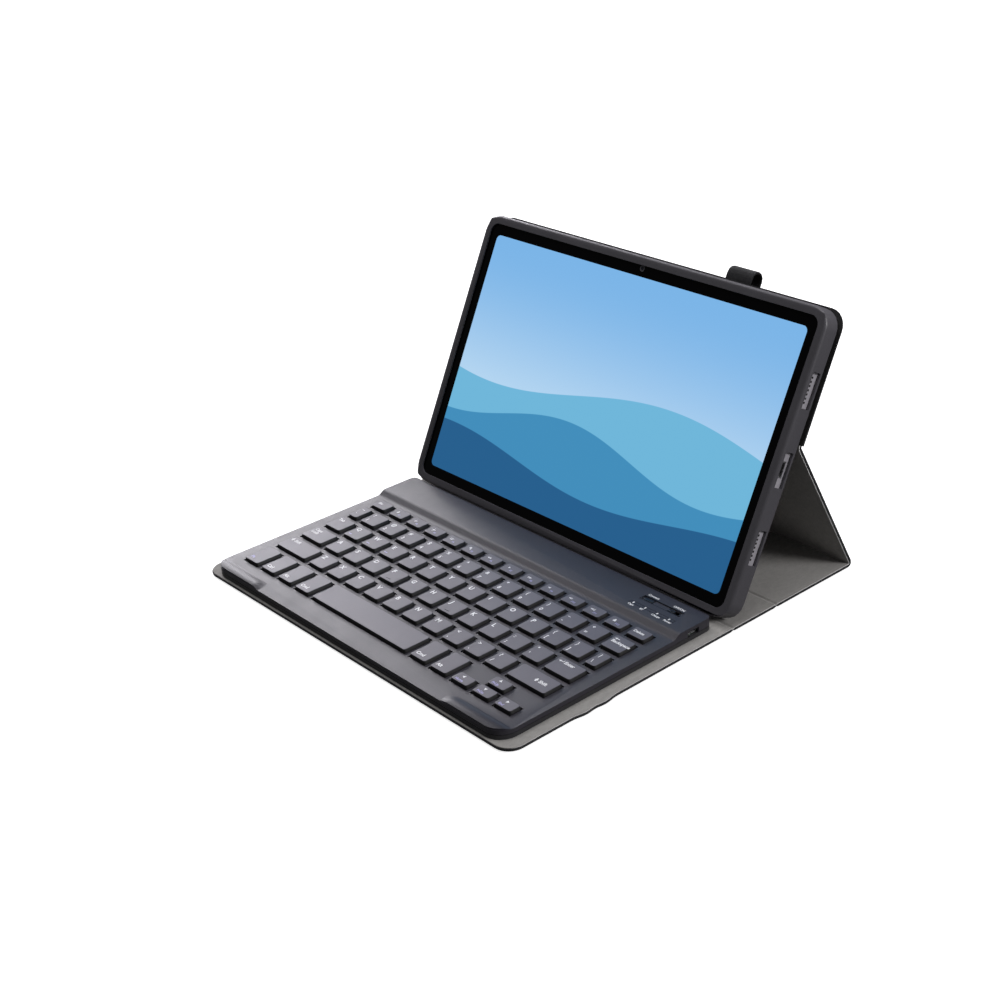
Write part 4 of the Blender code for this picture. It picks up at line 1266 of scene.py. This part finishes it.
def function_icon(index, x, y, z):
    """Simple pictograms: home, less and more light, list, search, play, sound and lock."""
    unit = 0.9 * MM

    def put(points, dx=0.0, dy=0.0):
        return mark([(px * unit, py * unit) for px, py in points],
                    (x + dx * unit, y + dy * unit, z))

    def sun(radius, reach, ray):
        return [put(regular(10, radius))] + [
            put(bar(*ray), reach * math.cos(turn), reach * math.sin(turn))
            for turn in (0, math.pi / 2, math.pi, 3 * math.pi / 2)]

    def speaker(*waves):
        return [put(bar(0.7, 0.8), -1.1), put(regular(3, 1.0, math.pi), -0.2)] + [
            put(bar(0.35, tall), dx) for dx, tall in waves]

    play = regular(3, 1.0)
    rewind = regular(3, 1.0, math.pi)
    icons = (
        lambda: [put(regular(3, 1.2, math.pi / 2), 0, 0.4), put(bar(1.3, 0.9), 0, -0.7)],
        lambda: sun(0.55, 1.2, (0.3, 0.5)),
        lambda: sun(0.75, 1.5, (0.4, 0.7)),
        lambda: [put(bar(2.6, 0.5), 0, 0.6), put(bar(2.6, 0.5), 0, -0.6)],
        lambda: [put(regular(12, 0.9), -0.2, 0.3), put(bar(0.5, 1.4), 0.9, -0.9)],
        lambda: [put(rewind, -0.8), put(rewind, 0.7)],
        lambda: [put(play)],
        lambda: [put(play, -0.7), put(play, 0.8)],
        lambda: speaker(),
        lambda: speaker((1.0, 1.2)),
        lambda: speaker((0.9, 1.2), (1.7, 2.0)),
        lambda: [put(bar(2.0, 1.3), 0, -0.5), put(regular(8, 0.7), 0, 0.6)])
    return icons[index]()


class CASE_OT_legends(bpy.types.Operator):
    """Printed legends on the key caps"""
    bl_idname = "keyboard_case.legends"
    bl_label = "Key legends"

    def execute(self, context):
        sizes = context.scene.case_sizes
        self.letter = sizes.letter
        self.word = sizes.small_letter
        function_index = 0
        for node in KEY_NODES:
            white, lilac = [], []
            for i, (low, high) in enumerate(cap_places(node)):
                left = low.x + CAP_FLARE + 1.5 * MM
                rear = high.y - CAP_FLARE - 1.6 * MM
                front = low.y + CAP_FLARE + 1.8 * MM
                z = high.z + PRINT_LIFT
                if node in GLYPHS:
                    self.add_glyphs(white, GLYPHS[node][i], left, rear, front, z)
                    if i in SECOND_MARKS.get(node, ()):
                        lilac.append(mark(bar(2.6 * MM, 0.5 * MM),
                                          (left + 1.6 * MM, front + 0.9 * MM, z)))
                elif "function" in node:
                    self.add_function(white, lilac, function_index, low, high, z)
                    function_index += 1
                elif node in ARROWS:
                    self.add_arrow(white, lilac, node, low, high, z)
                elif node in WORDS:
                    pen = lilac if node == "key_fn" else white
                    self.add_words(pen, node, low, high, z)
            self.finish(node, white, "ink", "legends")
            self.finish(node, lilac, "second_ink", "second_legends")
        return {'FINISHED'}

    def finish(self, node, pieces, finish, prefix):
        if pieces:
            print_piece = joined(pieces, f"{prefix}_{node.split('_', 1)[1]}")
            place_piece(print_piece, finish, node)

    def add_glyphs(self, pen, glyphs, left, rear, front, z):
        if len(glyphs) == 1:
            pen.append(lettering(glyphs, self.letter, (left, rear - self.letter, z)))
            return
        small = 0.86 * self.letter
        pen.append(lettering(glyphs[1], small, (left + 0.2 * MM, rear - small, z), 0.03))
        pen.append(lettering(glyphs[0], small, (left + 0.2 * MM, front + 0.3 * MM, z), 0.03))

    def add_function(self, white, lilac, index, low, high, z):
        middle = (low + high) / 2
        if index == 0:
            white.append(lettering("Esc", 0.85 * self.word,
                                   (low.x + 2.2 * MM, middle.y - 0.2 * MM, z)))
        elif index == 13:
            white.append(lettering("Delete", 0.85 * self.word,
                                   (low.x + 1.9 * MM, middle.y - 0.4 * MM, z)))
        else:
            white.extend(function_icon(index - 1, middle.x - 2.2 * MM, middle.y + 0.6 * MM, z))
        if 0 < index < 13:
            lilac.append(lettering(f"F{index}", 0.6 * self.word,
                                   (middle.x + 0.2 * MM, middle.y - 2.1 * MM, z), 0.02))

    def add_arrow(self, white, lilac, node, low, high, z):
        middle = (low + high) / 2
        turn = math.radians(ARROWS[node]) + math.pi / 2
        white.append(mark(regular(3, 1.15 * MM, turn),
                          (middle.x - 1.2 * MM, middle.y + 1.4 * MM, z)))
        lilac.append(lettering(ARROW_WORDS[node], 0.72 * self.word,
                               (low.x + 2.4 * MM, low.y + 1.6 * MM, z), 0.03))

    def add_words(self, pen, node, low, high, z):
        words = WORDS[node]
        height = self.word
        x = low.x + CAP_FLARE + 1.5 * MM
        bottom_row = high.y - low.y > 15 * MM
        y = low.y + 3.2 * MM if bottom_row else high.y - 2.2 * MM - height
        if node == "key_shift_right":
            x = high.x - 13.5 * MM
            y = (low.y + high.y) / 2 - height / 2
        if node in ("key_shift_left", "key_shift_right"):
            pen.append(mark(regular(3, 1.3 * MM, math.pi / 2), (x + 1.1 * MM, y + 1.5 * MM, z)))
            pen.append(mark(bar(1.1 * MM, 1.1 * MM), (x + 1.1 * MM, y + 0.4 * MM, z)))
            x += 3.1 * MM
        if node in ("key_enter", "key_backspace"):
            tip = (x + 0.8 * MM, y + 0.9 * MM, z)
            pen.append(mark(regular(3, 1.0 * MM, math.pi), tip))
            pen.append(mark(bar(2.2 * MM, 0.5 * MM), (x + 2.1 * MM, y + 0.9 * MM, z)))
            if node == "key_enter":
                pen.append(mark(bar(0.5 * MM, 1.5 * MM), (x + 3.0 * MM, y + 1.4 * MM, z)))
                x += 4.0 * MM
            else:
                y -= 2.6 * MM
        for line, word in enumerate(words):
            pen.append(lettering(word, height, (x, y - line * 1.35 * height, z)))


# ---- controls on the rear bar -----------------------------------------------------------
class CASE_OT_controls(bpy.types.Operator):
    """Connect button, power switch, lights and their labels"""
    bl_idname = "keyboard_case.controls"
    bl_label = "Controls"

    def execute(self, context):
        for node, name in (("connect_button", "connect_cap"), ("power_switch", "switch_knob")):
            low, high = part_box(node)
            knob = rounded_block(name, low, high, 0.45 * (high.y - low.y), 0.18 * MM, 5)
            if node == "power_switch":
                self.add_grips(knob, low, high)
            smooth(knob, 35.0)
            place_piece(knob, "button", node, stands_for=node)
        self.add_recess_rim()
        self.add_marks()
        self.add_socket()
        return {'FINISHED'}

    def add_grips(self, knob, low, high):
        """Three raised ribs across the knob, made part of it."""
        middle = (low + high) / 2
        ribs = [knob]
        for step in (-1, 0, 1):
            x = middle.x + step * 0.8 * MM
            ribs.append(rounded_block("rib", (x - 0.16 * MM, low.y + 0.5 * MM, high.z - 0.1 * MM),
                                      (x + 0.16 * MM, high.y - 0.5 * MM, high.z + 0.15 * MM),
                                      0.1 * MM, 0.06 * MM, 2))
        joined(ribs, knob.name)

    def add_recess_rim(self):
        """A thin dark lining round the floor of the oval recess."""
        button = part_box("connect_button")
        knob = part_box("power_switch")
        top = high_of("keyboard_top_case").z
        low = Vector((button[0].x - 1.45 * MM, button[0].y - 0.95 * MM, top - 0.55 * MM))
        high = Vector((knob[1].x + 4.95 * MM, button[1].y + 0.95 * MM, top + 0.06 * MM))
        rim = rounded_block("recess_rim", low, high, 2.1 * MM, 0.0, 6)
        with Edit(rim, 'FACE') as edit:
            edit.choose(lambda face: abs(face.normal.z) > 0.9)
            bpy.ops.mesh.inset(thickness=0.35 * MM)
            bpy.ops.mesh.bridge_edge_loops()
        smooth(soften(rim, 0.08 * MM, 2))
        place_piece(rim, "button", "keyboard")

    def add_marks(self):
        low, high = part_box("status_window")
        z = high.z + PRINT_LIFT
        y = (low.y + high.y) / 2
        pieces = []
        labels = ("Caps", "BT", "Charge", "Power")
        for step, label in enumerate(labels):
            x = low.x + 2.6 * MM + step * (high.x - low.x - 6 * MM) / (len(labels) - 1)
            pieces.append(mark(bar(0.8 * MM, 1.5 * MM), (x, y, z)))
            pieces.append(lettering(label, 1.4 * MM, (x - 1.9 * MM, y - 2.9 * MM, z), 0.05))
        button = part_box("connect_button")
        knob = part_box("power_switch")
        z = high_of("keyboard_top_case").z + PRINT_LIFT
        y = button[1].y + 2.0 * MM
        pieces.append(lettering("Connect", 1.5 * MM, (button[0].x - 0.4 * MM, y, z), 0.05))
        pieces.append(lettering("OFF/ON", 1.5 * MM, (knob[0].x - 0.2 * MM, y, z), 0.05))
        marks = joined(pieces, "bar_marks")
        place_piece(marks, "ink", "keyboard")

    def add_socket(self):
        low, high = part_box("charging_socket")
        middle = (low + high) / 2
        tube = port_tube("socket_shell", tuple(low), tuple(high))
        place_piece(tube, "steel", "keyboard", stands_for="charging_socket")
        tongue = rounded_block("socket_tongue",
                               (low.x + 0.7 * MM, middle.y - 2.2 * MM, middle.z - 0.3 * MM),
                               (high.x - 0.8 * MM, middle.y + 2.2 * MM, middle.z + 0.3 * MM),
                               0.2 * MM, 0.08 * MM, 2)
        smooth(tongue)
        place_piece(tongue, "dark", "keyboard")


# ---- stage --------------------------------------------------------------------------
CAMERA_PLACE = (0.61543, -0.51118, 0.43661)
CAMERA_TURN = (58.608, 2.669, 47.577)
CAMERA_LENS = 58.15
CAMERA_SHIFT = (-0.0547, 0.1446)
WORLD_STRENGTH = 0.085
FLOOR_GLOW = 0.8
LIGHTS = (                          # name, place, target, size, power, tint
    ("left_window", (-2.05, 0.70, 0.95), (0, 0, 0.02), 1.1, 35.0, (0.97, 0.95, 1.0)),
    ("overhead", (-0.2, -0.1, 2.2), (0, 0, 0), 1.6, 20.0, (1.0, 0.99, 1.0)),
    ("right_fill", (1.75, 0.75, 1.0), (0, 0, 0.06), 0.8, 22.0, (1.0, 0.99, 1.0)))


class CASE_OT_stage(bpy.types.Operator):
    """Pale floor, soft lights and the camera"""
    bl_idname = "keyboard_case.stage"
    bl_label = "Stage"

    def execute(self, context):
        scene = context.scene
        scene.view_settings.view_transform = 'Standard'
        bpy.ops.object.select_all(action='DESELECT')
        bpy.ops.mesh.primitive_plane_add(size=12.0, location=(0, 0, -0.4 * MM))
        floor = bpy.context.object
        floor.name = "floor"
        paper = Recipe("white_paper", Roughness=0.9, Specular_IOR_Level=0.1,
                       Emission_Strength=FLOOR_GLOW, Emission_Color=(1.0, 1.0, 1.0))
        grain = paper.noise(60.0, 2.0)
        paper.feed(Base_Color=paper.blend(grain, (0.84, 0.84, 0.84), (0.88, 0.88, 0.88)))
        floor.data.materials.append(paper.material)
        floor.visible_diffuse = False
        floor.visible_glossy = False
        self.add_world(scene)
        for light in LIGHTS:
            self.add_light(*light)
        camera = bpy.data.cameras.new("camera")
        camera.lens = CAMERA_LENS
        camera.sensor_width = 36.0
        camera.shift_x, camera.shift_y = CAMERA_SHIFT
        camera.clip_start = 0.01
        holder = bpy.data.objects.new("camera", camera)
        scene.collection.objects.link(holder)
        holder.location = CAMERA_PLACE
        holder.rotation_euler = [math.radians(turn) for turn in CAMERA_TURN]
        scene.camera = holder
        return {'FINISHED'}

    def add_world(self, scene):
        world = bpy.data.worlds.new("studio")
        world.use_nodes = True
        back = world.node_tree.nodes["Background"]
        back.inputs["Color"].default_value = (1.0, 1.0, 1.0, 1.0)
        back.inputs["Strength"].default_value = WORLD_STRENGTH
        scene.world = world

    def add_light(self, name, place, target, size, power, tint):
        light = bpy.data.lights.new(name, 'AREA')
        light.color = tint
        light.shape = 'SQUARE'
        light.size = size
        light.energy = power
        holder = bpy.data.objects.new(name, light)
        bpy.context.scene.collection.objects.link(holder)
        holder.location = place
        aim = Vector(target) - Vector(place)
        holder.rotation_euler = aim.to_track_quat('-Z', 'Y').to_euler()


# ---- add-on -------------------------------------------------------------------------
OPERATORS = (CASE_OT_stage, CASE_OT_cover, CASE_OT_back_cover, CASE_OT_shell,
             CASE_OT_pen_loop, CASE_OT_tablet, CASE_OT_picture, CASE_OT_keyboard_case,
             CASE_OT_inner_parts, CASE_OT_keys, CASE_OT_legends, CASE_OT_controls)


class CASE_PT_looks(bpy.types.Panel):
    """Lists the operators that build the case's visible pieces"""
    bl_idname = "CASE_PT_looks"
    bl_label = "Keyboard Case"
    bl_space_type = 'VIEW_3D'
    bl_region_type = 'UI'
    bl_category = "Keyboard Case"

    def draw(self, context):
        layout = self.layout
        for operator in OPERATORS:
            layout.operator(operator.bl_idname)
        for group in (context.scene.case_sizes, context.scene.case_colours):
            box = layout.box()
            for name in group.bl_rna.properties.keys():
                if name not in ("rna_type", "name"):
                    box.prop(group, name)


CLASSES = (CaseSizes, CaseColours, *OPERATORS, CASE_PT_looks)


def register():
    for cls in CLASSES:
        bpy.utils.register_class(cls)
    bpy.types.Scene.case_sizes = bpy.props.PointerProperty(type=CaseSizes)
    bpy.types.Scene.case_colours = bpy.props.PointerProperty(type=CaseColours)


def unregister():
    del bpy.types.Scene.case_sizes
    del bpy.types.Scene.case_colours
    for cls in reversed(CLASSES):
        bpy.utils.unregister_class(cls)


def main():
    register()
    make_finishes(bpy.context.scene.case_colours)
    for operator in OPERATORS:
        group, name = operator.bl_idname.split(".")
        result = getattr(getattr(bpy.ops, group), name)()
        if 'FINISHED' not in result:
            raise RuntimeError(f"{operator.bl_idname} did not finish")


if __name__ == "__main__":
    main()
